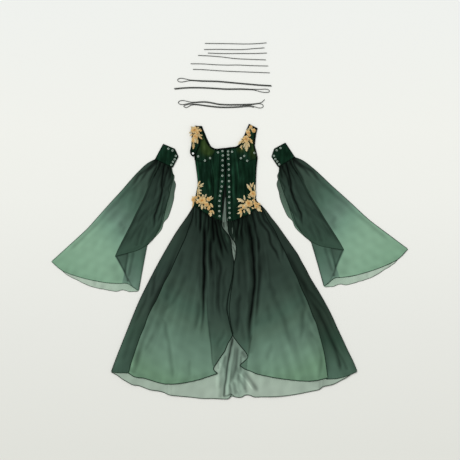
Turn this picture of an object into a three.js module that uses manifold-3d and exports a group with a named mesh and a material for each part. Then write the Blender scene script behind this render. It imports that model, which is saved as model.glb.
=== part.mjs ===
// Medieval costume dress, laid out flat on its back: a laced velvet bodice with lace
// appliques, a split chiffon overskirt over a pale underskirt, two bell sleeves that lace
// on, and nine loose laces above the shoulders.
// Millimetres, +Z up. X runs across the dress, Y from hem to shoulders, and z = 0 is the
// surface that it lies on.

import * as THREE from 'three';
import * as BufferGeometryUtils from 'three/addons/utils/BufferGeometryUtils.js';
import Module from 'manifold-3d';

const wasm = await Module();
wasm.setup();

// ---------------------------------------------------------------- driving dimensions

const VELVET = 2; // thickness of the bodice and arm-band cloth
const CHIFFON = 1; // thickness of each skirt and sleeve layer
const LACE = 1.4; // thickness of the lace appliques
const SEAM = 0.4; // gap between two pieces where they are sewn together
const LAYER = 0.3; // gap between two pieces that lie on each other

const EYELET = { bore: 2.6, barrel: 3.3, washer: 5.6, rim: 0.9, seat: 0.25, sides: 8 };
const HOLE_CLEARANCE = 0.7; // around the barrel of an eyelet
const LACE_CORD = { radius: 1.6, sides: 8, rest: 1.7 }; // `rest` is the height of its middle

// Underside of each layer, from the surface up.
const BACK_LEVEL = 0;
const FRONT_LEVEL = BACK_LEVEL + VELVET + LAYER;
const UNDERSKIRT_BACK_LEVEL = CHIFFON + LAYER;
const UNDERSKIRT_LEVEL = UNDERSKIRT_BACK_LEVEL + CHIFFON + LAYER;
const SIDE_LEVEL = UNDERSKIRT_LEVEL + CHIFFON + LAYER;
const OVERSKIRT_LEVEL = SIDE_LEVEL + CHIFFON + LAYER;
const SLEEVE_MAIN_LEVEL = CHIFFON + LAYER;
const SLEEVE_PETAL_LEVEL = SLEEVE_MAIN_LEVEL + CHIFFON + LAYER;

// How far the bodice front stands up from the back.
const BODICE = { centre: -22, puff: 6, halfWidth: 178, cup: 6, cupRadius: 58, waistRise: 1.9 };
const CUPS = [{ x: -125, y: 582 }, { x: 82, y: 584 }];

// ---------------------------------------------------------------- colours

const COLOUR = {
  velvet: { color: 0x14281f, roughness: 0.9, metalness: 0 },
  cup: { color: 0x2b3a1c, roughness: 0.85, metalness: 0 },
  overskirt: { color: 0x42564a, roughness: 0.8, metalness: 0 },
  overskirtDark: { color: 0x37493f, roughness: 0.8, metalness: 0 },
  underskirt: { color: 0x9eb0a0, roughness: 0.8, metalness: 0 },
  sleeve: { color: 0x7ba287, roughness: 0.8, metalness: 0 },
  sleeveUnder: { color: 0xa8bdae, roughness: 0.8, metalness: 0 },
  petal: { color: 0x2f4438, roughness: 0.8, metalness: 0 },
  applique: { color: 0xcfa768, roughness: 0.6, metalness: 0.1 },
  eyelet: { color: 0x9aa39c, roughness: 0.35, metalness: 0.9 },
  lace: { color: 0x3c4638, roughness: 0.8, metalness: 0 },
};

// ---------------------------------------------------------------- small helpers

const point = ([x, y]) => new THREE.Vector2(x, y);
const mix = (a, b, t) => a + (b - a) * t;

function smooth(value, from, to) {
  return THREE.MathUtils.smoothstep(value, Math.min(from, to), Math.max(from, to));
}

// Turns a geometry inside out where its volume is negative, so that every face looks out.
function facingOut(geometry) {
  const merged = geometry.clone();
  merged.deleteAttribute('normal');
  merged.deleteAttribute('uv');
  const solid = BufferGeometryUtils.mergeVertices(merged, 1e-4);
  const corners = solid.attributes.position;
  const index = solid.index.array;
  const [a, b, c] = [new THREE.Vector3(), new THREE.Vector3(), new THREE.Vector3()];
  let volume = 0;
  for (let face = 0; face < index.length; face += 3) {
    a.fromBufferAttribute(corners, index[face]);
    b.fromBufferAttribute(corners, index[face + 1]);
    c.fromBufferAttribute(corners, index[face + 2]);
    volume += a.dot(b.cross(c));
  }
  if (volume < 0) {
    for (let face = 0; face < index.length; face += 3) {
      [index[face], index[face + 1]] = [index[face + 1], index[face]];
    }
  }
  solid.computeVertexNormals();
  return solid;
}

function toSolid(geometry) {
  const closed = facingOut(geometry);
  return new wasm.Manifold(new wasm.Mesh({
    numProp: 3,
    vertProperties: new Float32Array(closed.attributes.position.array),
    triVerts: new Uint32Array(closed.index.array),
  }));
}

function toGeometry(solid) {
  const mesh = solid.getMesh();
  const geometry = new THREE.BufferGeometry();
  geometry.setAttribute('position', new THREE.BufferAttribute(mesh.vertProperties, 3));
  geometry.setIndex(new THREE.BufferAttribute(mesh.triVerts, 1));
  geometry.computeVertexNormals();
  return geometry;
}

// Rows of points between four edges that share their corners. Top and bottom run from left
// to right, left and right run from top to bottom.
function patchGrid({ top, bottom, left, right }) {
  const columns = top.length - 1;
  const rows = left.length - 1;
  const grid = [];
  for (let row = 0; row <= rows; row += 1) {
    const v = row / rows;
    const line = [];
    for (let column = 0; column <= columns; column += 1) {
      const u = column / columns;
      const along = (axis) => mix(left[row][axis], right[row][axis], u)
        + mix(top[column][axis], bottom[column][axis], v)
        - mix(mix(top[0][axis], top[columns][axis], u), mix(bottom[0][axis], bottom[columns][axis], u), v);
      line.push(new THREE.Vector2(along(0), along(1)));
    }
    grid.push(line);
  }
  return grid;
}

// The same grid with its outline moved inwards by half a seam.
function insetGrid(grid, distance) {
  const rows = grid.length - 1;
  const columns = grid[0].length - 1;
  const loop = [
    ...grid[0].slice(0, columns),
    ...grid.slice(0, rows).map((line) => line[columns]),
    ...grid[rows].slice(1).reverse(),
    ...grid.slice(1).map((line) => line[0]).reverse(),
  ];
  const side = THREE.ShapeUtils.isClockWise(loop) ? 1 : -1;
  const before = loop.map((corner) => corner.clone());
  loop.forEach((corner, place) => {
    const last = before[(place + before.length - 1) % before.length];
    const next = before[(place + 1) % before.length];
    const incoming = before[place].clone().sub(last).normalize();
    const outgoing = next.clone().sub(before[place]).normalize();
    const inward = new THREE.Vector2(incoming.y + outgoing.y, -incoming.x - outgoing.x);
    const spread = Math.max(1 + incoming.dot(outgoing), 0.4);
    corner.addScaledVector(inward, (side * distance) / spread);
  });
  return grid;
}

// A wall of cloth over a grid of points. `underside` gives the height of its lower face at
// a point, from the point's x and y and its column and row as shares of the whole.
function clothWall(grid, thickness, underside) {
  const rows = grid.length;
  const columns = grid[0].length;
  const positions = [];
  const faces = [];
  for (const shift of [0, thickness]) {
    grid.forEach((line, row) => line.forEach(({ x, y }, column) => {
      positions.push(x, y, underside(x, y, column / (columns - 1), row / (rows - 1)) + shift);
    }));
  }
  const lower = (row, column) => row * columns + column;
  const upper = (row, column) => rows * columns + lower(row, column);
  const quad = (a, b, c, d) => faces.push(a, b, c, a, c, d);
  for (let row = 0; row < rows - 1; row += 1) {
    for (let column = 0; column < columns - 1; column += 1) {
      quad(upper(row, column), upper(row + 1, column), upper(row + 1, column + 1), upper(row, column + 1));
      quad(lower(row, column), lower(row, column + 1), lower(row + 1, column + 1), lower(row + 1, column));
    }
  }
  for (let row = 0; row < rows - 1; row += 1) {
    const end = columns - 1;
    quad(upper(row, 0), lower(row, 0), lower(row + 1, 0), upper(row + 1, 0));
    quad(upper(row + 1, end), lower(row + 1, end), lower(row, end), upper(row, end));
  }
  for (let column = 0; column < columns - 1; column += 1) {
    const end = rows - 1;
    quad(upper(0, column + 1), lower(0, column + 1), lower(0, column), upper(0, column));
    quad(upper(end, column), lower(end, column), lower(end, column + 1), upper(end, column + 1));
  }
  const geometry = new THREE.BufferGeometry();
  geometry.setAttribute('position', new THREE.Float32BufferAttribute(positions, 3));
  geometry.setIndex(faces);
  return facingOut(geometry);
}

// A flat piece cut to an outline.
function flatPiece(outline, thickness, level) {
  const shape = new THREE.Shape(outline.map(point));
  const geometry = new THREE.ExtrudeGeometry(shape, { depth: thickness, bevelEnabled: false });
  return facingOut(geometry.translate(0, 0, level));
}

const dress = new THREE.Group();
const garment = new THREE.Group();
const laces = new THREE.Group();
dress.add(garment, laces);

function addPiece(name, geometry, colour, group = garment) {
  const mesh = new THREE.Mesh(geometry, new THREE.MeshStandardMaterial(COLOUR[colour]));
  mesh.name = name;
  group.add(mesh);
  return mesh;
}

// ---------------------------------------------------------------- bodice

// Points down each seam of the bodice front, from the neckline or bust seam to the waist.
const SEAM_LEVELS = [505, 460, 415, 370, 330];
const SEAMS = {
  sideLeft: { bust: [-191, 550], across: [-187, -180, -178, -181, -189], waist: [-195, 303] },
  panelLeft: { bust: [-134, 536], across: [-141, -135, -131, -134, -140], waist: [-146, 270] },
  princessLeft: { bust: [-105, 549], across: [-96, -89, -85, -87, -92], waist: [-98, 243] },
  placketLeft: { bust: [-54, 555], across: [-54, -55, -58, -66, -71], waist: [-71, 228] },
  edgeLeft: { bust: [-25, 555], across: [-24, -24.5, -28, -35, -40], waist: [-41, 220] },
  edgeRight: { bust: [-22, 555], across: [-21.5, -20.5, -19.5, -19, -18.5], waist: [-17, 218] },
  placketRight: { bust: [5, 555], across: [6, 7, 8.5, 10, 12], waist: [14, 220] },
  princessRight: { bust: [48, 549], across: [49, 52, 55, 57, 61], waist: [70, 240] },
  panelRight: { bust: [92, 537], across: [98, 96, 97, 103, 111], waist: [118, 268] },
  sideRight: { bust: [150, 558], across: [146, 142, 142, 150, 162], waist: [170, 303] },
};
const NECK = {
  cupLeft: [-74, 607],
  placketLeft: [-54, 610],
  edgeLeft: [-25, 613],
  edgeRight: [-22, 613],
  placketRight: [5, 617],
  cupRight: [30, 621],
};
const STRAP_LEFT = {
  armhole: [[-191, 550], [-187, 590], [-179, 625], [-178, 660], [-183, 700], [-188, 733]],
  neck: [NECK.cupLeft, [-96, 620], [-110, 638], [-123, 665], [-136, 698], [-151, 732]],
};
const STRAP_RIGHT = {
  neck: [NECK.cupRight, [45, 632], [62, 656], [79, 685], [91, 715], [104, 743]],
  armhole: [[150, 558], [142, 596], [135, 625], [137, 655], [142, 690], [149, 721]],
};

const seamPoints = ({ bust, across, waist }) => [
  bust, ...across.map((x, level) => [x, SEAM_LEVELS[level]]), waist,
];
const BUST_SEAM_LEFT = [SEAMS.sideLeft.bust, SEAMS.panelLeft.bust, SEAMS.princessLeft.bust, NECK.cupLeft];
const BUST_SEAM_RIGHT = [
  NECK.cupRight, SEAMS.princessRight.bust, SEAMS.panelRight.bust, SEAMS.sideRight.bust,
];

// Height of the bodice front above its seams: a soft puff, fuller over the two cups, that
// closes to nothing at the side seams, and a small step over the skirt at the waist.
function bodiceLift(x, y) {
  const share = Math.min(Math.abs(x - BODICE.centre) / BODICE.halfWidth, 1);
  const puff = BODICE.puff * (1 - share ** 3) * smooth(y, 225, 330) * (1 - smooth(y, 560, 640));
  const cups = CUPS.reduce((sum, cup) => {
    const distance = Math.hypot(x - cup.x, y - cup.y) / BODICE.cupRadius;
    return sum + BODICE.cup * Math.max(0, 1 - distance ** 2);
  }, 0);
  const waist = BODICE.waistRise * (1 - smooth(y, 262 + 41 * share, 320));
  return puff + cups * (1 - smooth(y, 590, 650)) + waist;
}
const onBodice = (x, y) => FRONT_LEVEL + bodiceLift(x, y);

function bodicePanel(lines, neck = null) {
  const left = seamPoints(lines[0]);
  const right = seamPoints(lines[lines.length - 1]);
  const top = lines.map((line) => line.bust);
  const bottom = lines.map((line) => line.waist);
  if (neck) {
    left.unshift(neck[0]);
    right.unshift(neck[neck.length - 1]);
  }
  const grid = patchGrid({ top: neck ?? top, bottom, left, right });
  return clothWall(insetGrid(grid, SEAM / 2), VELVET, onBodice);
}

// Each further line of a panel lies between two others.
function between(first, second, share) {
  const at = (a, b) => mix(a, b, share);
  return {
    bust: [at(first.bust[0], second.bust[0]), at(first.bust[1], second.bust[1])],
    across: first.across.map((x, level) => at(x, second.across[level])),
    waist: [at(first.waist[0], second.waist[0]), at(first.waist[1], second.waist[1])],
  };
}
const halfway = ([ax, ay], [bx, by]) => [(ax + bx) / 2, (ay + by) / 2];

const withMiddles = (points) => points.flatMap((here, place) => (
  place === 0 ? [here] : [halfway(points[place - 1], here), here]
));

function cupPanel(seamLine, armholeLine, neckLine, armholeIsLeft) {
  const [seam, armhole, neck] = [seamLine, armholeLine, neckLine].map(withMiddles);
  const strapTop = seam.map((_, place) => {
    const share = place / (seam.length - 1);
    const [start, end] = armholeIsLeft ? [armhole, neck] : [neck, armhole];
    const [a, b] = [start[start.length - 1], end[end.length - 1]];
    return [mix(a[0], b[0], share), mix(a[1], b[1], share)];
  });
  const grid = patchGrid({
    top: seam,
    bottom: strapTop,
    left: armholeIsLeft ? armhole : neck,
    right: armholeIsLeft ? neck : armhole,
  });
  return clothWall(insetGrid(grid, SEAM / 2), VELVET, onBodice);
}

// ---------------------------------------------------------------- eyelets

function ring(profile) {
  const outline = profile.map(([radius, height]) => new THREE.Vector2(radius, height));
  outline.push(outline[0].clone());
  const geometry = new THREE.LatheGeometry(outline, EYELET.sides);
  return facingOut(geometry.rotateX(Math.PI / 2));
}

function postAt(x, y, radius) {
  const geometry = new THREE.CylinderGeometry(radius, radius, 60, EYELET.sides);
  return geometry.rotateX(Math.PI / 2).translate(x, y, 10);
}

// A set eyelet: its barrel fills the hole in the cloth and its washer lies on the cloth.
const EYELET_RING = ring([
  [EYELET.bore, -VELVET],
  [EYELET.barrel, -VELVET],
  [EYELET.barrel, LAYER],
  [EYELET.washer, LAYER],
  [EYELET.washer, LAYER + EYELET.rim],
  [EYELET.bore, LAYER + EYELET.rim],
]);

// A grommet that is clinched into its cloth for good, so the two are one piece.
const GROMMET_RING = ring([
  [EYELET.bore, -VELVET / 2],
  [EYELET.washer, -VELVET / 2],
  [EYELET.washer, EYELET.rim],
  [EYELET.bore, EYELET.rim],
]);

function withGrommets(cloth, places, levelAt) {
  let solid = toSolid(cloth);
  for (const [x, y] of places) {
    const top = levelAt(x, y) + VELVET;
    solid = solid.add(toSolid(GROMMET_RING.clone().translate(x, y, top)));
    solid = solid.subtract(toSolid(postAt(x, y, EYELET.bore)));
  }
  return toGeometry(solid);
}

function withHoles(cloth, places) {
  let solid = toSolid(cloth);
  for (const [x, y] of places) {
    solid = solid.subtract(toSolid(postAt(x, y, EYELET.barrel + HOLE_CLEARANCE)));
  }
  return toGeometry(solid);
}

// The two columns of grommets down the front edges: x at a few heights, 14 in each column.
const COLUMN_COUNT = 14;
const COLUMN_LEFT = [[-40, 596], [-39, 546], [-38, 491], [-41, 431], [-50, 380], [-56, 327], [-55, 244]];
const COLUMN_RIGHT = [[-8, 594], [-6, 553], [-5, 495], [-3.5, 402], [-2.5, 316], [-1.5, 236]];

// Eyelets that are set on their own.
const CUP_EYELETS_LEFT = [[-170, 566], [-134, 548], [-105, 563]];
const CUP_EYELETS_RIGHT = [[60, 562], [78, 571], [94, 549], [133, 585]];
const TOP_EYELETS = { left: [-64, 589], right: [14, 592] };

function columnPlaces(column) {
  const line = new THREE.SplineCurve(column.map(point));
  return line.getSpacedPoints(COLUMN_COUNT - 1).map(({ x, y }) => [x, y]);
}

// ---------------------------------------------------------------- bodice pieces

const BACK_WAIST = [[-195, 303], [-110, 282], [-12, 274], [85, 282], [170, 303]];
const BACK_OUTLINE = [
  ...BACK_WAIST,
  [150, 370], [141, 430], [149, 548], [142, 596], [135, 625], [137, 655], [142, 690], [149, 721], [104, 743],
  [91, 715], [79, 685], [45, 624], [-22, 606], [-96, 612], [-110, 638], [-123, 665], [-136, 698], [-151, 732],
  [-188, 733], [-183, 700], [-178, 660], [-179, 625], [-187, 590], [-191, 550], [-178, 430], [-184, 350],
];
const INNER_PANEL = [[-60, 226], [-41, 221], [-17, 219], [14, 221], [14, 412], [-50, 412]];
const TAB = {
  outline: [
    [-214, 722], [-209, 668], [-211, 620], [-213, 597], [-208, 581], [-199, 573], [-190, 578], [-178, 600],
    [-165, 628], [-162, 668], [-163, 728],
  ],
  eyelet: [-197, 587],
  level: 6.4,
};

addPiece('bodice_back', flatPiece(BACK_OUTLINE, VELVET, BACK_LEVEL), 'velvet');
addPiece('inner_panel', flatPiece(INNER_PANEL, CHIFFON, UNDERSKIRT_LEVEL), 'underskirt');

function centrePanel(outer, inner, neckOuter, neckInner, eyelet, outerIsLeft) {
  const middle = between(outer, inner, 0.5);
  const lines = outerIsLeft ? [outer, middle, inner] : [inner, middle, outer];
  const neck = [neckOuter, halfway(neckOuter, neckInner), neckInner];
  return withHoles(bodicePanel(lines, outerIsLeft ? neck : neck.reverse()), [eyelet]);
}

addPiece('centre_front_left', centrePanel(
  SEAMS.princessLeft, SEAMS.placketLeft, NECK.cupLeft, NECK.placketLeft, TOP_EYELETS.left, true,
), 'velvet');
addPiece('centre_front_right', centrePanel(
  SEAMS.princessRight, SEAMS.placketRight, NECK.cupRight, NECK.placketRight, TOP_EYELETS.right, false,
), 'velvet');
addPiece('side_front_left', bodicePanel([
  SEAMS.sideLeft, between(SEAMS.sideLeft, SEAMS.panelLeft, 0.5), SEAMS.panelLeft, SEAMS.princessLeft,
]), 'velvet');
addPiece('side_front_right', bodicePanel([
  SEAMS.princessRight, SEAMS.panelRight, between(SEAMS.panelRight, SEAMS.sideRight, 0.5), SEAMS.sideRight,
]), 'velvet');

const plackets = [
  ['placket_left', [SEAMS.placketLeft, SEAMS.edgeLeft], [NECK.placketLeft, NECK.edgeLeft], COLUMN_LEFT],
  ['placket_right', [SEAMS.edgeRight, SEAMS.placketRight], [NECK.edgeRight, NECK.placketRight], COLUMN_RIGHT],
];
for (const [name, lines, neck, column] of plackets) {
  addPiece(name, withGrommets(bodicePanel(lines, neck), columnPlaces(column), onBodice), 'velvet');
}

const cupLeft = cupPanel(BUST_SEAM_LEFT, STRAP_LEFT.armhole, STRAP_LEFT.neck, true);
const cupRight = cupPanel(BUST_SEAM_RIGHT, STRAP_RIGHT.armhole, STRAP_RIGHT.neck, false);
addPiece('cup_strap_left', withHoles(cupLeft, CUP_EYELETS_LEFT), 'cup');
addPiece('cup_strap_right', withHoles(cupRight, CUP_EYELETS_RIGHT), 'cup');

// The tab lies flat over the outer edge of the left strap.
const onTab = () => TAB.level;
addPiece('shoulder_tab', withHoles(flatPiece(TAB.outline, VELVET, TAB.level), [TAB.eyelet]), 'velvet');

const looseEyelets = [
  ['eyelet_top_left', TOP_EYELETS.left, onBodice],
  ['eyelet_top_right', TOP_EYELETS.right, onBodice],
  ['eyelet_tab', TAB.eyelet, onTab],
  ...CUP_EYELETS_LEFT.map((place, number) => [`eyelet_cup_left_${number + 1}`, place, onBodice]),
  ...CUP_EYELETS_RIGHT.map((place, number) => [`eyelet_cup_right_${number + 1}`, place, onBodice]),
];
for (const [name, [x, y], levelAt] of looseEyelets) {
  const slope = new THREE.Vector3(
    levelAt(x - 1, y) - levelAt(x + 1, y), levelAt(x, y - 1) - levelAt(x, y + 1), 2,
  ).normalize();
  const eyelet = addPiece(name, EYELET_RING, 'eyelet');
  eyelet.position.set(x, y, levelAt(x, y) + VELVET + EYELET.seat);
  eyelet.quaternion.setFromUnitVectors(new THREE.Vector3(0, 0, 1), slope);
}

// ---------------------------------------------------------------- skirt

// Each row is one line down the cloth, along the top or the foot of a fold: its x at the
// waist, at each of the levels, and its end at the hem. A fold stands up by `rise` below
// the height `from`. The waist follows the lower edge of the bodice.
const SKIRT_LEVELS = [150, 0, -225, -400, -540];
const FOLD_SPREAD = 150; // a fold is at its full height this far below where it begins
const WAIST_START = 225;

const OVERSKIRT_LEFT = [
  { waist: -195, across: [-254, -297, -401, -479, -527], hem: [-545, -595], rise: 0 },
  { waist: -183, across: [-236, -270, -362, -428, -474], hem: [-488, -620], rise: 8 },
  { waist: -171, across: [-216, -238, -316, -378, -420], hem: [-432, -638], rise: 0 },
  { waist: -158, across: [-190, -200, -262, -322, -358], hem: [-366, -655], rise: 12 },
  { waist: -146, across: [-152, -142, -136, -205, -262], hem: [-290, -659], rise: 0 },
  { waist: -130, across: [-130, -118, -112, -150, -200], hem: [-228, -651], rise: 11 },
  { waist: -114, across: [-101, -106, -95, -108, -142], hem: [-168, -637], rise: 0 },
  { waist: -98, across: [-82, -82, -76, -80, -112], hem: [-132, -626], rise: 9 },
  { waist: -84, across: [-60, -48, -58, -40, -92], hem: [-106, -617], rise: 0 },
  { waist: -71, across: [-32, -14, -34, -12, -80], hem: [-86, -610], rise: 7 },
  { waist: -41, across: [-6, 17, -17, 12, -69], hem: [-66, -603], rise: 0 },
];
const OVERSKIRT_RIGHT = [
  { waist: -17, across: [19, 22, -13, 16, 82], hem: [60, -562], rise: 0 },
  { waist: -1, across: [36, 44, 20, 27, 96], hem: [95, -578], rise: 7 },
  { waist: 14, across: [58, 66, 50, 39, 112], hem: [133, -593], rise: 0 },
  { waist: 42, across: [84, 98, 88, 72, 140], hem: [185, -611], rise: 11 },
  { waist: 70, across: [107, 129, 124, 100, 172], hem: [240, -625], rise: 0 },
  { waist: 86, across: [124, 146, 140, 122, 216], hem: [285, -633], rise: 8 },
  { waist: 102, across: [143, 163, 160, 148, 262], hem: [328, -638], rise: 0 },
  { waist: 118, across: [172, 206, 236, 252, 330], hem: [382, -642], rise: 11 },
  { waist: 135, across: [196, 240, 286, 322, 395], hem: [432, -641], rise: 0 },
  { waist: 152, across: [220, 277, 352, 402, 460], hem: [483, -635], rise: 8 },
  { waist: 170, across: [241, 311, 416, 492, 525], hem: [531, -630], rise: 0 },
];
const SIDE_LEFT = [
  { waist: -195, across: [-295, -380, -499, -567, -623], hem: [-644, -595], rise: 0 },
  { waist: -191, across: [-277, -345, -462, -530, -587], hem: [-606, -600], rise: 4, from: 120 },
  { waist: -187, across: [-259, -303, -407, -485, -533], hem: [-551, -601], rise: 0 },
  { waist: -182, across: [-244, -287, -391, -469, -517], hem: [-535, -604], rise: 0 },
];
const SIDE_RIGHT = [
  { waist: 158, across: [231, 301, 406, 482, 514], hem: [520, -634], rise: 0 },
  { waist: 162, across: [246, 317, 422, 498, 532], hem: [540, -634], rise: 0 },
  { waist: 166, across: [278, 352, 468, 548, 600], hem: [622, -628], rise: 4, from: 120 },
  { waist: 170, across: [295, 388, 514, 600, 665], hem: [689, -593], rise: 0 },
];
const UNDERSKIRT = [
  { waist: -193, across: [-285, -368, -484, -552, -600], hem: [-617, -607], rise: 0 },
  { waist: -165, across: [-230, -300, -395, -455, -500], hem: [-521, -664], rise: 0 },
  { waist: -130, across: [-175, -215, -275, -310, -335], hem: [-345, -717], rise: 3, from: -680 },
  { waist: -95, across: [-120, -140, -168, -180, -190], hem: [-195, -737], rise: 0 },
  { waist: -60, across: [-62, -66, -70, -64, -84], hem: [-100, -741], rise: 0 },
  { waist: -50, across: [-45, -42, -38, -30, -50], hem: [-60, -743], rise: 6, from: -540 },
  { waist: -38, across: [-30, -22, -12, -4, -14], hem: [-18, -742], rise: 0 },
  { waist: -27, across: [-15, -6, 4, 12, 16], hem: [22, -737], rise: 7, from: -400 },
  { waist: -14, across: [0, 10, 20, 24, 40], hem: [56, -728], rise: 0 },
  { waist: 0, across: [15, 28, 36, 38, 60], hem: [88, -723], rise: 6, from: -540 },
  { waist: 30, across: [50, 62, 70, 66, 92], hem: [130, -727], rise: 0 },
  { waist: 80, across: [120, 150, 190, 220, 250], hem: [275, -726], rise: 3, from: -680 },
  { waist: 125, across: [190, 250, 320, 380, 420], hem: [440, -702], rise: 0 },
  { waist: 150, across: [240, 315, 405, 480, 530], hem: [559, -664], rise: 0 },
  { waist: 168, across: [285, 376, 497, 585, 650], hem: [687, -598], rise: 0 },
];
const OVERSKIRT_BACK_HEM = [
  [-640, -590], [-474, -622], [-208, -640], [20, -646], [246, -640], [531, -624], [684, -588],
];
const BACK_HIDE = 8; // the back layers end this far inside the front ones

const FRONT_WAIST = Object.values(SEAMS).map((seam) => seam.waist);

function heightAlong(line, x) {
  const next = Math.max(1, line.findIndex(([end], place) => end >= x || place === line.length - 1));
  const [[ax, ay], [bx, by]] = [line[next - 1], line[next]];
  return mix(ay, by, THREE.MathUtils.clamp((x - ax) / (bx - ax), 0, 1));
}
const waistPoint = (x, line = FRONT_WAIST) => [x, heightAlong(line, x) - SEAM];

function skirtPanel(folds, level) {
  const perFold = 2; // steps across the cloth from one line to the next
  const steps = (folds.length - 1) * perFold;
  const row = (points) => {
    const line = new THREE.SplineCurve(points.map(point));
    return Array.from({ length: steps + 1 }, (_, step) => line.getPoint(step / steps));
  };
  const waist = Array.from({ length: steps + 1 }, (_, step) => {
    const [before, after] = [Math.floor(step / perFold), Math.ceil(step / perFold)];
    return point(waistPoint((folds[before].waist + folds[after].waist) / 2));
  });
  const grid = [
    waist,
    ...SKIRT_LEVELS.map((y, place) => row(folds.map((fold) => [fold.across[place], y]))),
    row(folds.map((fold) => fold.hem)),
  ];
  const riseOf = ({ rise, from = WAIST_START }, y) => (
    rise * THREE.MathUtils.clamp((from - y) / FOLD_SPREAD, 0, 1)
  );
  return clothWall(grid, CHIFFON, (x, y, across) => {
    const place = Math.round(across * steps) / perFold;
    const before = riseOf(folds[Math.floor(place)], y);
    const after = riseOf(folds[Math.ceil(place)], y);
    const rounded = before === after ? before : Math.max(before, after) * Math.SQRT1_2;
    return level + (Number.isInteger(place) ? before : rounded);
  });
}

// A back layer: flat, with the sides of the front one and a hem that stays behind it.
function skirtBack(sideLeft, sideRight, hem, level) {
  const side = (line, inward) => SKIRT_LEVELS.map((y, place) => [line.across[place] + inward, y]);
  return flatPiece([
    ...BACK_WAIST.map(([x, y]) => [x + Math.sign(BODICE.centre - x) * LAYER, y - SEAM]).reverse(),
    ...side(sideLeft, BACK_HIDE),
    ...hem,
    ...side(sideRight, -BACK_HIDE).reverse(),
  ], CHIFFON, level);
}

const underskirtBackHem = UNDERSKIRT.map(({ hem: [x, y] }) => [x, y + BACK_HIDE]);
addPiece('overskirt_back', skirtBack(
  SIDE_LEFT[0], SIDE_RIGHT[SIDE_RIGHT.length - 1], OVERSKIRT_BACK_HEM, BACK_LEVEL,
), 'overskirtDark');
addPiece('underskirt_back', skirtBack(
  UNDERSKIRT[0], UNDERSKIRT[UNDERSKIRT.length - 1], underskirtBackHem, UNDERSKIRT_BACK_LEVEL,
), 'underskirt');
addPiece('underskirt_front', skirtPanel(UNDERSKIRT, UNDERSKIRT_LEVEL), 'underskirt');
addPiece('overskirt_side_left', skirtPanel(SIDE_LEFT, SIDE_LEVEL), 'overskirtDark');
addPiece('overskirt_side_right', skirtPanel(SIDE_RIGHT, SIDE_LEVEL), 'overskirtDark');
addPiece('overskirt_front_left', skirtPanel(OVERSKIRT_LEFT, OVERSKIRT_LEVEL), 'overskirt');
addPiece('overskirt_front_right', skirtPanel(OVERSKIRT_RIGHT, OVERSKIRT_LEVEL), 'overskirt');

// ---------------------------------------------------------------- sleeves

// The left sleeve. The right one is its mirror image, turned by SLEEVE_TURN. Both are drawn
// from the inner corner of the arm band.
const SLEEVE_CORNER = { left: [-278, 567], right: [223, 566] };
const SLEEVE_TURN = THREE.MathUtils.degToRad(5.4);

const BAND = {
  outline: [[-359, 634], [-403, 552], [-309, 508], [-278, 567], [-297, 608]],
  eyelets: [[-331, 609], [-309, 599], [-291, 570], [-297, 552], [-306, 538], [-315, 522]],
};
const BAND_EDGE = [[-403, 552], [-309, 508]]; // where the layers are gathered into the band
const SLEEVE_OUTER = [
  [-403, 552], [-444, 529], [-533, 438], [-622, 347], [-711, 256], [-800, 166], [-881, 83], [-962, 0],
];
const SLEEVE_UNDER = {
  hem: [
    [-911, -44], [-876, -73], [-823, -100], [-781, -121], [-736, -138], [-672, -151],
    [-609, -161], [-584, -153], [-560, -156], [-546, -162], [-492, -160],
  ],
  inner: [
    [-447, 88], [-406, 129], [-367, 177], [-357, 211], [-336, 235], [-319, 278],
    [-302, 341], [-300, 370], [-292, 418], [-302, 445], [-297, 459], [-309, 508],
  ],
};
const SLEEVE_MAIN = {
  inner: [
    [-309, 508], [-306, 450], [-322, 380], [-345, 290], [-372, 190], [-447, 88], [-470, -35], [-492, -158],
  ],
  hem: [
    [-962, 0], [-906, -46], [-846, -72], [-785, -91], [-728, -103], [-672, -113], [-615, -118],
    [-580, -119], [-553, -118], [-522, -138], [-492, -158],
  ],
  rises: [0, 6, 0, 6, 0, 0, 0, 0, 0, 0, 0],
  opening: [0.25, 0.5],
};
const SLEEVE_PETAL = {
  outer: [[-385, 543.6], [-405, 471], [-447, 380], [-488, 307], [-531, 221], [-574, 134], [-618, 28]],
  inner: [[-309, 508], [-302, 447], [-323, 375], [-340, 302], [-355, 230], [-371, 172], [-406, 129]],
  hem: [[-618, 28], [-582, 38], [-548, 47], [-507, 57], [-470, 77], [-438, 102], [-406, 129]],
  rises: [0, 5, 0, 7, 0, 6, 0],
  opening: [0.05, 0.4],
};

const divided = ([start, end], count) => Array.from({ length: count + 1 }, (_, step) => [
  mix(start[0], end[0], step / count), mix(start[1], end[1], step / count),
]);

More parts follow.
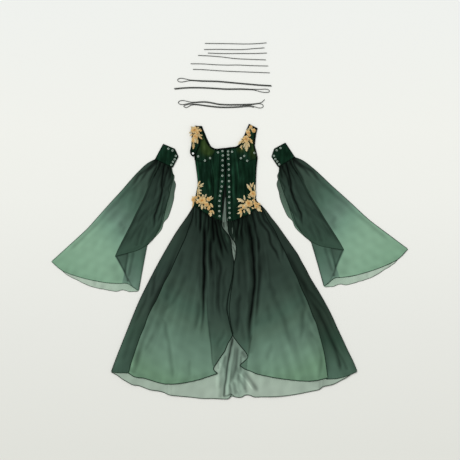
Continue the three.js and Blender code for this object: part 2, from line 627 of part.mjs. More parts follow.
function sleeve(side) {
  const mirror = side === 'left' ? 1 : -1;
  const [cornerX, cornerY] = SLEEVE_CORNER.left;
  const place = (points) => points.map(([x, y]) => [(x - cornerX) * mirror, y - cornerY]);
  const group = new THREE.Group();
  group.position.set(...SLEEVE_CORNER[side], 0);
  group.rotation.z = side === 'left' ? 0 : SLEEVE_TURN;
  garment.add(group);

  // The layers stop just short of the band.
  const belowBand = (points) => insetGrid(patchGrid(points), SEAM);
  const layer = ({ outer = SLEEVE_OUTER, inner, hem, rises, opening }, edge, level) => {
    const grid = belowBand({
      top: place(divided(edge, hem.length - 1)), bottom: place(hem), left: place(outer), right: place(inner),
    });
    return clothWall(grid, CHIFFON, (x, y, across, down) => (
      level + rises[Math.round(across * (rises.length - 1))] * smooth(down, ...opening)
    ));
  };
  const bandOutline = place(BAND.outline);
  const under = [...SLEEVE_OUTER, ...SLEEVE_UNDER.hem, ...SLEEVE_UNDER.inner.slice(0, -1)];
  const [bandOuter, bandInner] = BAND_EDGE;
  const underTop = [[bandInner[0] - SEAM, bandInner[1] - 2 * SEAM], [bandOuter[0], bandOuter[1] - 2 * SEAM]];
  const petalEdge = [SLEEVE_PETAL.outer[0], SLEEVE_PETAL.inner[0]];
  const front = flatPiece(bandOutline, VELVET, FRONT_LEVEL);

  addPiece(`band_back_${side}`, flatPiece(bandOutline, VELVET, BACK_LEVEL), 'velvet', group);
  addPiece(`band_front_${side}`, withGrommets(front, place(BAND.eyelets), () => FRONT_LEVEL), 'velvet', group);
  addPiece(
    `sleeve_under_${side}`,
    flatPiece(place([...under, ...underTop].filter((_, step) => step > 0)), CHIFFON, BACK_LEVEL),
    'sleeveUnder',
    group,
  );
  addPiece(`sleeve_main_${side}`, layer(SLEEVE_MAIN, BAND_EDGE, SLEEVE_MAIN_LEVEL), 'sleeve', group);
  addPiece(`sleeve_petal_${side}`, layer(SLEEVE_PETAL, petalEdge, SLEEVE_PETAL_LEVEL), 'petal', group);
}
sleeve('left');
sleeve('right');

// ---------------------------------------------------------------- lace appliques

// Each applique is one wall of lace: flowers, and leaves drawn from stalk to tip.
const FLOWER = { petals: 6, notch: 0.16, points: 18 };
const APPLIQUE_CLEARANCE = 0.8; // above the cloth, so that it stays clear of the seams
const MESH_STEP = 30; // longest edge, so that the lace follows the cloth

const APPLIQUES = {
  shoulder_left: {
    flowers: [[-195, 704, 19], [-172, 716, 12], [-172, 693, 13], [-208, 692, 11], [-150, 660, 9]],
    leaves: [
      [-195, 704, -222, 728, 13], [-190, 704, -152, 726, 12], [-174, 693, -146, 664, 12],
      [-195, 704, -205, 660, 14], [-203, 668, -197, 608, 13], [-200, 650, -178, 640, 11],
    ],
  },
  shoulder_right: {
    flowers: [[89, 662, 21], [114, 724, 11], [127, 706, 10], [101, 698, 11], [64, 640, 9]],
    leaves: [
      [89, 662, 101, 706, 14], [102, 702, 132, 736, 11], [101, 698, 133, 704, 9], [89, 662, 46, 629, 13],
      [95, 655, 124, 644, 13], [89, 655, 92, 594, 14], [82, 652, 62, 604, 13],
    ],
  },
  hip_left: {
    flowers: [[-153, 330, 25], [-194, 335, 12], [-112, 330, 13], [-140, 360, 12], [-126, 306, 14]],
    leaves: [
      [-160, 345, -174, 392, 12], [-174, 384, -170, 438, 12], [-172, 390, -141, 414, 12],
      [-150, 350, -120, 388, 12], [-112, 330, -84, 350, 12], [-190, 335, -204, 296, 11],
      [-153, 330, -160, 288, 14], [-126, 318, -100, 292, 15], [-114, 304, -102, 246, 14],
      [-106, 282, -88, 256, 10], [-194, 335, -206, 352, 9], [-142, 330, -106, 330, 12],
      [-146, 322, -122, 303, 15], [-166, 332, -198, 336, 13],
    ],
  },
  hip_right: {
    flowers: [[100, 313, 25], [124, 362, 16], [146, 297, 12], [76, 330, 12], [118, 392, 10]],
    leaves: [
      [104, 320, 126, 366, 14], [120, 366, 93, 414, 12], [122, 370, 110, 424, 11], [124, 374, 130, 428, 11],
      [126, 372, 140, 414, 11], [140, 300, 168, 316, 11], [146, 300, 168, 270, 12], [90, 320, 42, 342, 14],
      [88, 322, 74, 354, 12], [92, 306, 45, 290, 13], [92, 302, 45, 262, 13], [96, 300, 58, 237, 14],
      [102, 300, 107, 258, 14], [106, 311, 150, 297, 14],
    ],
  },
};

function flowerShape([x, y, radius]) {
  const outline = [];
  for (let step = 0; step < FLOWER.points; step += 1) {
    const angle = (step / FLOWER.points) * 2 * Math.PI;
    const reach = radius * (1 - FLOWER.notch + FLOWER.notch * Math.cos(FLOWER.petals * angle));
    outline.push(new THREE.Vector2(x + reach * Math.cos(angle), y + reach * Math.sin(angle)));
  }
  return new THREE.Shape(outline);
}

function leafShape([startX, startY, endX, endY, width]) {
  const along = new THREE.Vector2(endX - startX, endY - startY);
  const across = new THREE.Vector2(-along.y, along.x).setLength(width / 2);
  const at = (share, side) => new THREE.Vector2(startX, startY)
    .addScaledVector(along, share).addScaledVector(across, side);
  return new THREE.Shape([
    at(0, 0.5), at(0, -0.5), at(0.55, -1), at(0.85, -0.6), at(1, 0), at(0.85, 0.6), at(0.55, 1),
  ]);
}

const overWaist = OVERSKIRT_LEVEL + CHIFFON;
function onCloth(x, y, onShoulderTab) {
  const cloth = Math.max(onBodice(x, y) + VELVET, overWaist);
  return onShoulderTab ? TAB.level + VELVET + LAYER : cloth + APPLIQUE_CLEARANCE;
}

function applique(name, { flowers, leaves }) {
  const cut = (shape) => toSolid(new THREE.ExtrudeGeometry(shape, { depth: LACE, bevelEnabled: false }));
  const solids = [...flowers.map(flowerShape), ...leaves.map(leafShape)].map(cut);
  const joined = solids.reduce((sum, solid) => sum.add(solid));
  const geometry = toGeometry(joined.refineToLength(MESH_STEP));
  const corners = geometry.attributes.position;
  for (let corner = 0; corner < corners.count; corner += 1) {
    const height = onCloth(corners.getX(corner), corners.getY(corner), name === 'shoulder_left');
    corners.setZ(corner, corners.getZ(corner) + height);
  }
  addPiece(`applique_${name}`, facingOut(geometry), 'applique');
}
Object.entries(APPLIQUES).forEach(([name, motifs]) => applique(name, motifs));

// ---------------------------------------------------------------- laces

// Routes on the surface, from one free end to the other.
const SHORT_LACES = [
  [[-134, 1178], [-80, 1177.5], [0, 1176.5], [90, 1175], [150, 1177], [198, 1181]],
  [[-139, 1145], [-60, 1146], [0, 1145], [71, 1145], [130, 1150], [187, 1154]],
  [[-118, 1126], [-70, 1124], [-21, 1123], [60, 1123.5], [130, 1123.5], [200, 1126]],
  [[-171, 1113], [-120, 1111], [-55, 1106], [32, 1096], [110, 1092], [195, 1089]],
  [[-211, 1068], [-150, 1067.5], [-80, 1063], [-6, 1061], [40, 1061.5], [120, 1058], [207, 1056]],
  [[-199, 1038], [-140, 1036], [-70, 1031], [3, 1027], [110, 1023], [216, 1019]],
];
const FOLDED_LACES = [
  [
    [224, 951], [160, 955], [90, 961], [0, 969], [-64, 974.7], [-150, 977.2], [-215, 981], [-240, 986],
    [-262, 990], [-277, 987], [-282, 979.5], [-277, 972.5], [-262, 969.5], [-240, 972.5], [-215, 976.7],
    [-150, 972.8], [-64, 970.3], [0, 964.7], [90, 956.7], [160, 950.6], [226, 946.6],
  ],
  [
    [-300, 935], [-232, 940.2], [-160, 940.7], [-69, 936.4], [-26, 933.4], [68, 933.3], [133, 930.2],
    [165, 930], [195, 931], [210, 927], [214.5, 920.5], [209, 914.5], [195, 913], [165, 917], [133, 925.6],
    [68, 929], [-26, 929.2], [-69, 932.1], [-160, 936.3], [-232, 935.9], [-298, 930.5],
  ],
];
const LONG_LACE = [
  [188, 875], [172, 860], [148, 854], [111, 851], [39, 849], [-15, 849], [-62, 852], [-91, 858],
  [-135, 864], [-207, 861], [-234, 866], [-256, 870], [-272, 866], [-278, 858], [-270, 850], [-254, 847.5],
  [-234, 851.5], [-207, 856], [-135, 859.5], [-91, 853.5], [-62, 847.5], [-15, 844.5], [39, 844.5],
  [111, 846.5], [160, 852], [176, 848], [181, 839], [173, 830.5], [158, 829.5], [111, 841.5], [39, 837],
  [-15, 835], [-69, 836.5], [-120, 842.5], [-203, 850.5], [-235, 846], [-249, 838.5], [-236, 831.5],
  [-203, 845.7], [-120, 838], [-69, 832], [-15, 830.5], [39, 832], [111, 836.5], [130, 832],
];

function lace(name, route, steps) {
  const middle = route.map(([x, y]) => new THREE.Vector3(x, y, LACE_CORD.rest));
  const section = Array.from({ length: LACE_CORD.sides }, (_, side) => {
    const angle = ((side + 0.5) / LACE_CORD.sides) * 2 * Math.PI;
    return new THREE.Vector2(Math.cos(angle), Math.sin(angle)).multiplyScalar(LACE_CORD.radius);
  });
  const geometry = new THREE.ExtrudeGeometry(new THREE.Shape(section), {
    steps,
    extrudePath: new THREE.CatmullRomCurve3(middle, false, 'centripetal'),
  });
  addPiece(name, facingOut(geometry), 'lace', laces);
}
SHORT_LACES.forEach((route, number) => lace(`lace_short_${number + 1}`, route, 9));
FOLDED_LACES.forEach((route, number) => lace(`lace_folded_${number + 1}`, route, 48));
lace('lace_long', LONG_LACE, 80);

// The origin is below the middle of the dress and its sleeves.
const box = new THREE.Box3().setFromObject(garment, true);
const middle = box.getCenter(new THREE.Vector3());
dress.position.set(-middle.x, -middle.y, -box.min.z);

export default dress;
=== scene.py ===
import math

import bpy
import numpy as np
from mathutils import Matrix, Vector


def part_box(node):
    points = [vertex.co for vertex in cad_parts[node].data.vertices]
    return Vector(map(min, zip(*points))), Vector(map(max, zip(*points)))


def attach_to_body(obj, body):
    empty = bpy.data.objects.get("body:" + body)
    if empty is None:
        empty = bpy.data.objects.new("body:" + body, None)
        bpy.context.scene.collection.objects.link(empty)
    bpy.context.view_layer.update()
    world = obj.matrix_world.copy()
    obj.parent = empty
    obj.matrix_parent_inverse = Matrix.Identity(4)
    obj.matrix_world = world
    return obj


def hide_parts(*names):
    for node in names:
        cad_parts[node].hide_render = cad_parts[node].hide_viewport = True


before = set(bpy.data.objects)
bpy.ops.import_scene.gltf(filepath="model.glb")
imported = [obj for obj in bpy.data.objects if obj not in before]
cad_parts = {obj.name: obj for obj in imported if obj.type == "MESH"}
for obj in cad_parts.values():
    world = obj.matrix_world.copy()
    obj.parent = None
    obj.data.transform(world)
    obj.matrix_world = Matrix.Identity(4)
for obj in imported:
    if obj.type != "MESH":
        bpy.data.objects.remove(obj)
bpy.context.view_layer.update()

# The back of the bodice reaches from this x and up to this y on the cutting table.
BACK_X, BACK_Y = -195, 743
BACK_LOW, BACK_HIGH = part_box("bodice_back")
SHIFT = np.array([BACK_LOW.x * 1000 - BACK_X, BACK_HIGH.y * 1000 - BACK_Y])


def place(points):
    """Table points in mm, (x, y, z), as an array of points in metres in the row frame."""
    moved = np.array(points, float).reshape(-1, 3)
    moved[:, :2] += SHIFT
    return moved / 1000


def show(name, data):
    """A new object in the scene."""
    made = bpy.data.objects.new(name, data)
    bpy.context.scene.collection.objects.link(made)
    return made


# ------------------------------------------------------------ camera and light

VIEW_CENTRE = (1.3, 170.4)
VIEW_WIDTH = 2484
LENS, SENSOR = 85, 36

camera_data = bpy.data.cameras.new("camera")
camera_data.lens = LENS
camera_data.sensor_width = SENSOR
camera_data.clip_end = 60
camera = show("camera", camera_data)
camera.location = place([(*VIEW_CENTRE, VIEW_WIDTH * LENS / SENSOR)])[0]
bpy.context.scene.camera = camera
bpy.context.scene.view_settings.view_transform = "Standard"

sun = bpy.data.lights.new("key", "SUN")
sun.energy = 1.75
sun.angle = math.radians(28)
show("key", sun).rotation_euler = Vector((0.62, -0.58, -1)).to_track_quat("-Z", "Y").to_euler()

world = bpy.data.worlds.new("studio")
world.use_nodes = True
background = world.node_tree.nodes["Background"]
background.inputs["Color"].default_value = (1, 1, 0.985, 1)
background.inputs["Strength"].default_value = 0.6
bpy.context.scene.world = world


def colour(red, green, blue):
    """A colour given as it shows on a screen, 0 to 255, as the linear one that Blender takes."""
    def linear(value):
        value /= 255
        return value / 12.92 if value <= 0.04045 else ((value + 0.055) / 1.055) ** 2.4
    return (linear(red), linear(green), linear(blue), 1)


# ------------------------------------------------------------ materials

class Graph:
    """A material's node tree, with short calls for the nodes used here."""

    def __init__(self, name):
        self.material = bpy.data.materials.new(name)
        self.material.use_nodes = True
        self.tree = self.material.node_tree
        self.tree.nodes.clear()
        self.output = self.node("ShaderNodeOutputMaterial")

    def node(self, kind, **settings):
        made = self.tree.nodes.new(kind)
        for key, value in settings.items():
            setattr(made, key, value)
        return made

    def link(self, source, target):
        self.tree.links.new(source, target)

    def attribute(self, name):
        return self.node("ShaderNodeAttribute", attribute_name=name).outputs["Fac"]

    def lit(self):
        """How much light the folds leave: 1 less the attribute `shade`."""
        return self.maths("SUBTRACT", 1.0, self.attribute("shade"))

    def maths(self, operation, *values):
        made = self.node("ShaderNodeMath", operation=operation)
        for socket, value in zip(made.inputs, values):
            if isinstance(value, (int, float)):
                socket.default_value = value
            else:
                self.link(value, socket)
        return made.outputs[0]

    def ramp(self, fac, stops):
        made = self.node("ShaderNodeValToRGB")
        elements = made.color_ramp.elements
        while len(elements) < len(stops):
            elements.new(0.5)
        for element, (at, shown) in zip(elements, stops):
            element.position = at
            element.color = colour(*shown)
        self.link(fac, made.inputs["Fac"])
        return made.outputs["Color"]

    def noise(self, scale, detail=3, stretch=None):
        where = self.node("ShaderNodeTexCoord").outputs["Object"]
        if stretch:
            mapping = self.node("ShaderNodeMapping")
            mapping.inputs["Scale"].default_value = stretch
            self.link(where, mapping.inputs["Vector"])
            where = mapping.outputs["Vector"]
        made = self.node("ShaderNodeTexNoise")
        made.inputs["Scale"].default_value = scale
        made.inputs["Detail"].default_value = detail
        self.link(where, made.inputs["Vector"])
        return made.outputs["Fac"]

    def scaled(self, shade, factor):
        made = self.node("ShaderNodeVectorMath", operation="SCALE")
        self.link(shade, made.inputs[0])
        self.link(factor, made.inputs["Scale"])
        return made.outputs[0]

    def mixed(self, first, second, share):
        made = self.node("ShaderNodeMix", data_type="RGBA")
        self.link(share, made.inputs[0])
        self.link(first, made.inputs[6])
        self.link(second, made.inputs[7])
        return made.outputs[2]

    def weave(self, size):
        """The threads of a plain weave, as a height."""
        where = self.node("ShaderNodeTexCoord").outputs["Object"]
        waves = []
        for direction in "XY":
            wave = self.node("ShaderNodeTexWave", bands_direction=direction)
            wave.inputs["Scale"].default_value = size
            wave.inputs["Distortion"].default_value = 0.6
            self.link(where, wave.inputs["Vector"])
            waves.append(wave.outputs["Fac"])
        return self.maths("ADD", *waves)

    def bump(self, height, strength, distance):
        made = self.node("ShaderNodeBump")
        made.inputs["Strength"].default_value = strength
        made.inputs["Distance"].default_value = distance
        self.link(height, made.inputs["Height"])
        return made.outputs["Normal"]

    def principled(self, base, normal=None, **sockets):
        made = self.node("ShaderNodeBsdfPrincipled")
        self.link(base, made.inputs["Base Color"])
        if normal is not None:
            self.link(normal, made.inputs["Normal"])
        for key, value in sockets.items():
            made.inputs[key.replace("_", " ")].default_value = value
        self.link(made.outputs[0], self.output.inputs["Surface"])
        return self.material


def chiffon(name, stops, alpha=1.0):
    """Dyed chiffon: `tone` runs along the ombre, and `shade` darkens the folds."""
    graph = Graph(name)
    mottle = graph.maths("MULTIPLY_ADD", graph.noise(9, 4), 0.10, 0.95)
    dye = graph.ramp(graph.attribute("tone"), stops)
    base = graph.scaled(dye, graph.maths("MULTIPLY", graph.lit(), mottle))
    return graph.principled(
        base, graph.bump(graph.weave(420), 0.12, 0.0002),
        Roughness=0.8, Alpha=alpha, Sheen_Weight=0.012, Sheen_Roughness=0.5, Specular_IOR_Level=0.025,
    )


def velvet(name, stops, blend=None):
    """Pile that is brushed in long soft stripes down the body: partly the pile's own colour, and partly
    painted sheen, lighter where the pile would catch the light.
    Where `tone` is 1 it has the colours of `blend`."""
    graph = Graph(name)
    sheen_streaks = graph.noise(1, 4, stretch=(62, 9, 9))
    nap_and_sheen = graph.maths("MULTIPLY_ADD", sheen_streaks, 0.65, graph.maths("MULTIPLY", graph.noise(16, 3), 0.35))
    dye = graph.ramp(nap_and_sheen, stops)
    if blend:
        dye = graph.mixed(dye, graph.ramp(nap_and_sheen, blend), graph.attribute("tone"))
    return graph.principled(
        graph.scaled(dye, graph.lit()), graph.bump(graph.noise(900, 2), 0.35, 0.0004),
        Roughness=0.85, Sheen_Weight=0.04, Sheen_Roughness=0.35, Sheen_Tint=colour(120, 160, 130),
        Specular_IOR_Level=0.04,
    )


def thread(name, stops, scale, roughness=0.6, pale=None):
    """Embroidery or cord: `tone` picks the yarn, with twisted threads across it.
    With `pale`, some patches have that yarn instead, and `shade` is how much more of it there is."""
    graph = Graph(name)
    offset = graph.maths("ADD", graph.attribute("tone"), -0.22)
    tone = graph.maths("MULTIPLY_ADD", graph.noise(scale, 3), 0.45, offset)
    dye = graph.ramp(tone, stops)
    if pale:
        patches = graph.maths("MULTIPLY_ADD", graph.noise(60, 2), 2.4, -1.2)
        share = graph.maths("ADD", patches, graph.attribute("shade"))
        share.node.use_clamp = True
        base = graph.mixed(dye, graph.ramp(tone, pale), share)
    else:
        base = graph.scaled(dye, graph.lit())
    normal = graph.bump(graph.noise(scale * 2.2, 2), 0.5, 0.0006)
    return graph.principled(base, normal, Roughness=roughness, Specular_IOR_Level=0.3, Sheen_Weight=0.1)


def metal(name, shown, dulled=0.8):
    """Nickel with `dulled` patches of wear."""
    graph = Graph(name)
    dull = tuple(value * dulled for value in shown)
    base = graph.ramp(graph.noise(240, 3), [(0.35, dull), (0.65, shown)])
    normal = graph.bump(graph.noise(600, 2), 0.15, 0.0002)
    return graph.principled(base, normal, Metallic=0.15, Roughness=0.45)


# The velvet's colours from its darkest pile to its lightest stripes; the light end is partly painted sheen.
PILE_AND_SHEEN = [
    (0.3, (2, 17, 8)), (0.42, (7, 29, 17)), (0.52, (14, 40, 26)), (0.62, (22, 52, 37)), (0.72, (40, 70, 56)),
]
OLIVE_PILE_AND_SHEEN = [(0.3, (24, 38, 14)), (0.48, (36, 53, 22)), (0.6, (46, 62, 32)), (0.75, (62, 76, 52))]
VELVET = velvet("velvet", PILE_AND_SHEEN)
CUP = velvet("cup_velvet", PILE_AND_SHEEN, OLIVE_PILE_AND_SHEEN)
BINDING = velvet("binding", [(0.3, (1, 6, 3)), (0.7, (5, 13, 8))])

# The overskirt's dye as seen every 80 mm from the waist, the first time 60 mm away from it.
DYE_FIRST, DYE_STEP = 60, 80
OVERSKIRT_DYE = [
    (24, 36, 29), (31, 44, 37), (40, 53, 46), (47, 62, 54), (52, 69, 60), (60, 79, 68), (67, 91, 78),
    (80, 104, 89), (91, 118, 102), (100, 128, 111), (104, 134, 114), (102, 134, 109),
]
# `tone` is 1 at this distance from the waist.
DYE_REACH = 960
OVERSKIRT = chiffon("overskirt", [
    ((DYE_FIRST + DYE_STEP * number) / DYE_REACH, shown) for number, shown in enumerate(OVERSKIRT_DYE)
])
# The side gores' dye goes from the top of the skirt to its foot.
SIDES = {
    "left": chiffon("overskirt_side_left", [
        (0.0, (38, 49, 43)), (0.18, (47, 63, 54)), (0.34, (46, 62, 54)), (0.44, (49, 63, 56)),
        (0.6, (53, 70, 60)), (0.72, (54, 75, 63)), (0.84, (60, 82, 70)), (1.0, (64, 88, 75)),
    ]),
    "right": chiffon("overskirt_side_right", [
        (0.0, (38, 50, 43)), (0.22, (39, 52, 45)), (0.4, (37, 50, 42)), (0.56, (37, 51, 42)),
        (0.67, (43, 58, 48)), (0.78, (44, 65, 53)), (0.86, (58, 80, 67)), (1.0, (72, 97, 83)),
    ]),
}
UNDERSKIRT = chiffon("underskirt", [
    (0.0, (78, 92, 82)), (0.1, (108, 122, 112)), (0.2, (116, 131, 121)), (0.4, (112, 131, 120)),
    (0.56, (126, 148, 134)), (0.68, (131, 154, 139)), (0.78, (139, 160, 145)), (0.88, (152, 170, 155)),
    (1.0, (155, 171, 157)),
])
SLEEVE = chiffon("sleeve", [
    (0.0, (30, 42, 35)), (0.07, (46, 60, 52)), (0.21, (60, 79, 68)), (0.29, (68, 92, 79)),
    (0.36, (78, 106, 91)), (0.5, (100, 128, 113)), (0.57, (113, 147, 127)), (0.68, (126, 161, 137)),
    (0.79, (129, 164, 139)), (1.0, (121, 157, 131)),
])
SLEEVE_UNDER = chiffon("sleeve_under", [
    (0.0, (64, 84, 72)), (0.12, (74, 97, 83)), (0.3, (90, 118, 100)), (0.6, (128, 158, 138)),
    (0.85, (170, 192, 174)), (1.0, (176, 193, 177)),
], alpha=0.86)
PETAL = chiffon("petal", [
    (0.0, (26, 38, 31)), (0.25, (41, 56, 48)), (0.55, (45, 62, 53)), (0.85, (50, 70, 59)),
    (1.0, (54, 77, 64)),
])
HEM_DARK = chiffon("hem_dark", [(0.0, (8, 18, 13)), (0.6, (16, 28, 21)), (1.0, (34, 54, 42))])
HEM_SLEEVE = chiffon("hem_sleeve", [(0.0, (24, 44, 34)), (1.0, (60, 90, 72))])
HEM_PALE = chiffon("hem_pale", [(0.0, (52, 62, 52)), (1.0, (68, 80, 70))])
GOLD = thread("gold_thread", [
    (0.0, (84, 56, 24)), (0.22, (146, 104, 52)), (0.45, (201, 159, 92)), (0.7, (219, 184, 119)),
    (1.0, (236, 212, 158)),
], 500, pale=[
    (0.0, (58, 56, 30)), (0.22, (112, 102, 66)), (0.45, (168, 152, 108)), (0.7, (204, 188, 146)),
    (1.0, (240, 230, 198)),
])
SEED = thread("seed_beads", [(0.0, (176, 104, 44)), (0.5, (214, 150, 74)), (1.0, (240, 214, 160))], 300, 0.35)
CORD = thread("lace_cord", [(0.0, (22, 30, 22)), (0.5, (48, 58, 44)), (1.0, (78, 84, 66))], 500, 0.75)
NICKEL = metal("nickel", (170, 187, 174))
# A paler copy of the nickel: a painted highlight, for the tab's eyelet.
NICKEL_LIT = metal("nickel_lit", (252, 254, 252), 0.95)


# ------------------------------------------------------------ floor

# In metres: how far the floor reaches each way, and its level, just under the dress.
FLOOR_REACH = 7
FLOOR_LEVEL = -0.0004
# Its colours from the foot of the picture to the top: painted light, which falls off towards the foot.
FLOOR_LIGHT_FALLOFF = [
    (0.0, (222, 223, 217)), (0.28, (228, 229, 224)), (0.57, (236, 237, 232)), (0.73, (238, 239, 234)),
    (1.0, (237, 239, 236)),
]


def floor_material():
    graph = Graph("floor")
    axes = graph.node("ShaderNodeSeparateXYZ")
    graph.link(graph.node("ShaderNodeTexCoord").outputs["Object"], axes.inputs[0])
    share = graph.maths("MULTIPLY_ADD", axes.outputs["Y"], 0.42, 0.43)
    return graph.principled(graph.ramp(share, FLOOR_LIGHT_FALLOFF), Roughness=0.9, Specular_IOR_Level=0.1)


floor_mesh = bpy.data.meshes.new("floor")
floor_mesh.from_pydata(
    [(FLOOR_REACH * x, FLOOR_REACH * y, FLOOR_LEVEL) for x, y in ((-1, -1), (1, -1), (1, 1), (-1, 1))],
    [], [(0, 1, 2, 3)],
)
floor_mesh.materials.append(floor_material())
show("floor", floor_mesh)


# ------------------------------------------------------------ lines and distances

def smooth(share):
    share = np.clip(share, 0, 1)
    return share * share * (3 - 2 * share)


def mix(first, second, share):
    return first + (second - first) * share


def listed(text):
    """Points or motifs that are written as words, with commas between their numbers."""
    return [tuple(map(float, word.split(","))) for word in text.split()]


def along(points, count):
    """`count` points, evenly spaced on a smooth line through the given ones."""
    knots = np.array(points, float)
    if len(knots) == 2:
        return mix(knots[0], knots[1], np.linspace(0, 1, count)[:, None])
    at = np.concatenate([[0], np.cumsum(np.sqrt(np.linalg.norm(np.diff(knots, axis=0), axis=1)))])
    tangents = np.gradient(knots, at, axis=0)
    fine = np.linspace(0, at[-1], 26 * len(knots))
    span = np.clip(np.searchsorted(at, fine, side="right") - 1, 0, len(knots) - 2)
    width = (at[span + 1] - at[span])[:, None]
    t = (fine - at[span])[:, None] / width
    line = (
        (2 * t**3 - 3 * t**2 + 1) * knots[span] + (t**3 - 2 * t**2 + t) * width * tangents[span]
        + (3 * t**2 - 2 * t**3) * knots[span + 1] + (t**3 - t**2) * width * tangents[span + 1]
    )
    run = np.concatenate([[0], np.cumsum(np.linalg.norm(np.diff(line, axis=0), axis=1))])
    even = np.linspace(0, run[-1], count)
    return np.stack([np.interp(even, run, line[:, axis]) for axis in range(line.shape[1])], axis=1)


def nearest(points, line):
    """For each point its distance to the line, positive on the line's left, and its share along the line."""
    starts, steps = line[:-1], np.diff(line, axis=0)
    lengths = np.linalg.norm(steps, axis=1)
    run = np.concatenate([[0], np.cumsum(lengths)])
    best = np.full(len(points), 1e9)
    side = np.ones(len(points))
    share = np.zeros(len(points))
    for start, step, length, before in zip(starts, steps, lengths, run):
        away = points - start
        t = np.clip(away @ step / max(length**2, 1e-9), 0, 1)
        gap = np.hypot(*(away - t[:, None] * step).T)
        closer = gap < best
        best[closer] = gap[closer]
        side[closer] = np.sign(step[0] * away[closer, 1] - step[1] * away[closer, 0] + 1e-9)
        share[closer] = (before + t[closer] * length) / run[-1]
    return best * side, share


def inside(points, outline):
    """Distance from the outline, positive inside it."""
    loop = np.vstack([outline, outline[:1]])
    gap = np.abs(nearest(points, loop)[0])
    odd = np.zeros(len(points), bool)
    for (ax, ay), (bx, by) in zip(loop[:-1], loop[1:]):
        crosses = (ay > points[:, 1]) != (by > points[:, 1])
        if crosses.any():
            at = ax + (points[:, 1] - ay) * (bx - ax) / (by - ay + 1e-12)
            odd ^= crosses & (points[:, 0] < at)
    return np.where(odd, gap, -gap)


def ripple(points, size, seed):
    """A soft uneven swell, mostly between -1 and 1: `waves` sines of about the given size."""
    waves = 7
    chance = np.random.default_rng(seed)
    total = np.zeros(len(points))
    for _ in range(waves):
        angle, phase, stretch = chance.uniform(0, 2 * math.pi, 3)
        wave = 2 * math.pi / (size * (0.7 + stretch / 8))
        total += np.sin(points[:, 0] * wave * math.cos(angle) + points[:, 1] * wave * math.sin(angle) + phase)
    return total / waves * 1.6


def bell(s):
    return np.exp(-s**2)


def darker(shade, more):
    """A shade on top of a shade: each takes its part of the light that is left."""
    return 1 - (1 - shade) * (1 - more)


# Profiles of a crease across its line, at a distance given in widths: height, then painted shade. A ridge is
# # painted dark beside one flank and light near its crest, as if lit from the other side; a trough and a lip
# are
# # painted dark in their hollow and light beside it, and a streak is painted shade alone, with no height.
PROFILES = {
    "ridge": (bell, lambda s: np.exp(-((s + 1.5) ** 2) * 1.4) - 0.45 * np.exp(-((s - 0.3) ** 2) * 1.6)),
    "trough": (
        lambda s: -bell(s) + 0.4 * bell(np.abs(s) - 2.1),
        lambda s: np.exp(-s**2 * 1.2) - 0.12 * bell(np.abs(s) - 2.2),
    ),
    "streak": (np.zeros_like, bell),
    "swell": (bell, bell),
    "lip": (
        lambda s: np.where(s > 0, np.exp(-0.45 * np.abs(s)), bell(s / 0.4)),
        lambda s: np.exp(-((s + 0.5) ** 2) * 2.2) - 0.25 * bell(s - 1.3),
    ),
}


def creases(text):
    """Creases that are written as text: kind, width, height and painted shade, how much of its start and of
    its end fades, and after a colon the points of its route. A shade below 0 is painted light."""
    rows = []
    for word in text.split():
        if word in PROFILES:
            measures, points = [], []
            rows.append((word, measures, points))
        elif "," in word:
            points += listed(word)
        else:
            measures.append(float(word.rstrip(":")))
    return rows


def relief(points, rows):
    """Height and shade of all the creases at the points. Past `reach` a crease leaves them alone."""
    height, lit = np.zeros(len(points)), np.ones(len(points))
    for kind, (width, rise, dark, fade_in, fade_out), knots in rows:
        line = along(knots, 7 * len(knots))
        reach = 5 * width
        low, high = line.min(0) - reach, line.max(0) + reach
        near = np.flatnonzero(((points > low) & (points < high)).all(1))
        if not len(near):
            continue
        gap, share = nearest(points[near], line)
        taper = smooth(share / max(fade_in, 1e-3)) * smooth((1 - share) / max(fade_out, 1e-3))
        wide = width * (0.55 + 0.45 * taper)
        lift, tint = PROFILES[kind]
        fade = taper * smooth((reach - np.abs(gap)) / (1.5 * width))
        height[near] += rise * fade * lift(gap / wide)
        lit[near] *= 1 - dark * fade * tint(gap / wide)
    return height, 1 - lit


# ------------------------------------------------------------ meshes

def build(name, points, faces, material, slot, replaced=(), **attributes):
    """A smooth mesh piece that rides on the dress, with values for its points that the material reads."""
    mesh = bpy.data.meshes.new(name)
    mesh.from_pydata(place(points).tolist(), [], faces)
    mesh.polygons.foreach_set("use_smooth", np.ones(len(mesh.polygons), bool))
    for key, values in attributes.items():
        stored = mesh.attributes.new(key, "FLOAT", "POINT")
        stored.data.foreach_set("value", np.asarray(values, np.float32).ravel())
    mesh.materials.append(material)
    mesh.update()
    return attach(show(name, mesh), replaced)


def attach(piece, replaced=()):
    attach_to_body(piece, "root")
    if replaced:
        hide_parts(*replaced)
    return piece


def grid_faces(rows, columns, flip=False):
    corner = np.arange(rows * columns).reshape(rows, columns)
    quads = np.stack([corner[:-1, :-1], corner[1:, :-1], corner[1:, 1:], corner[:-1, 1:]], axis=-1)
    quads = quads.reshape(-1, 4)
    return (quads[:, ::-1] if flip else quads).tolist()


def closed_tube(rings, sides, flip=False):
    """Faces of a tube of so many rings, closed at both ends."""
    faces = []
    for step in range(rings - 1):
        for side in range(sides):
            a, b = step * sides + side, step * sides + (side + 1) % sides
            faces.append((a, a + sides, b + sides, b) if flip else (a, b, b + sides, a + sides))
    last = (rings - 1) * sides
    ends = tuple(range(sides)), tuple(range(last, last + sides))
    return faces + ([ends[0], ends[1][::-1]] if flip else [ends[0][::-1], ends[1]])


def thicken(piece, thickness):
    solid = piece.modifiers.new("thickness", "SOLIDIFY")
    solid.thickness = thickness / 1000
    solid.offset = -1


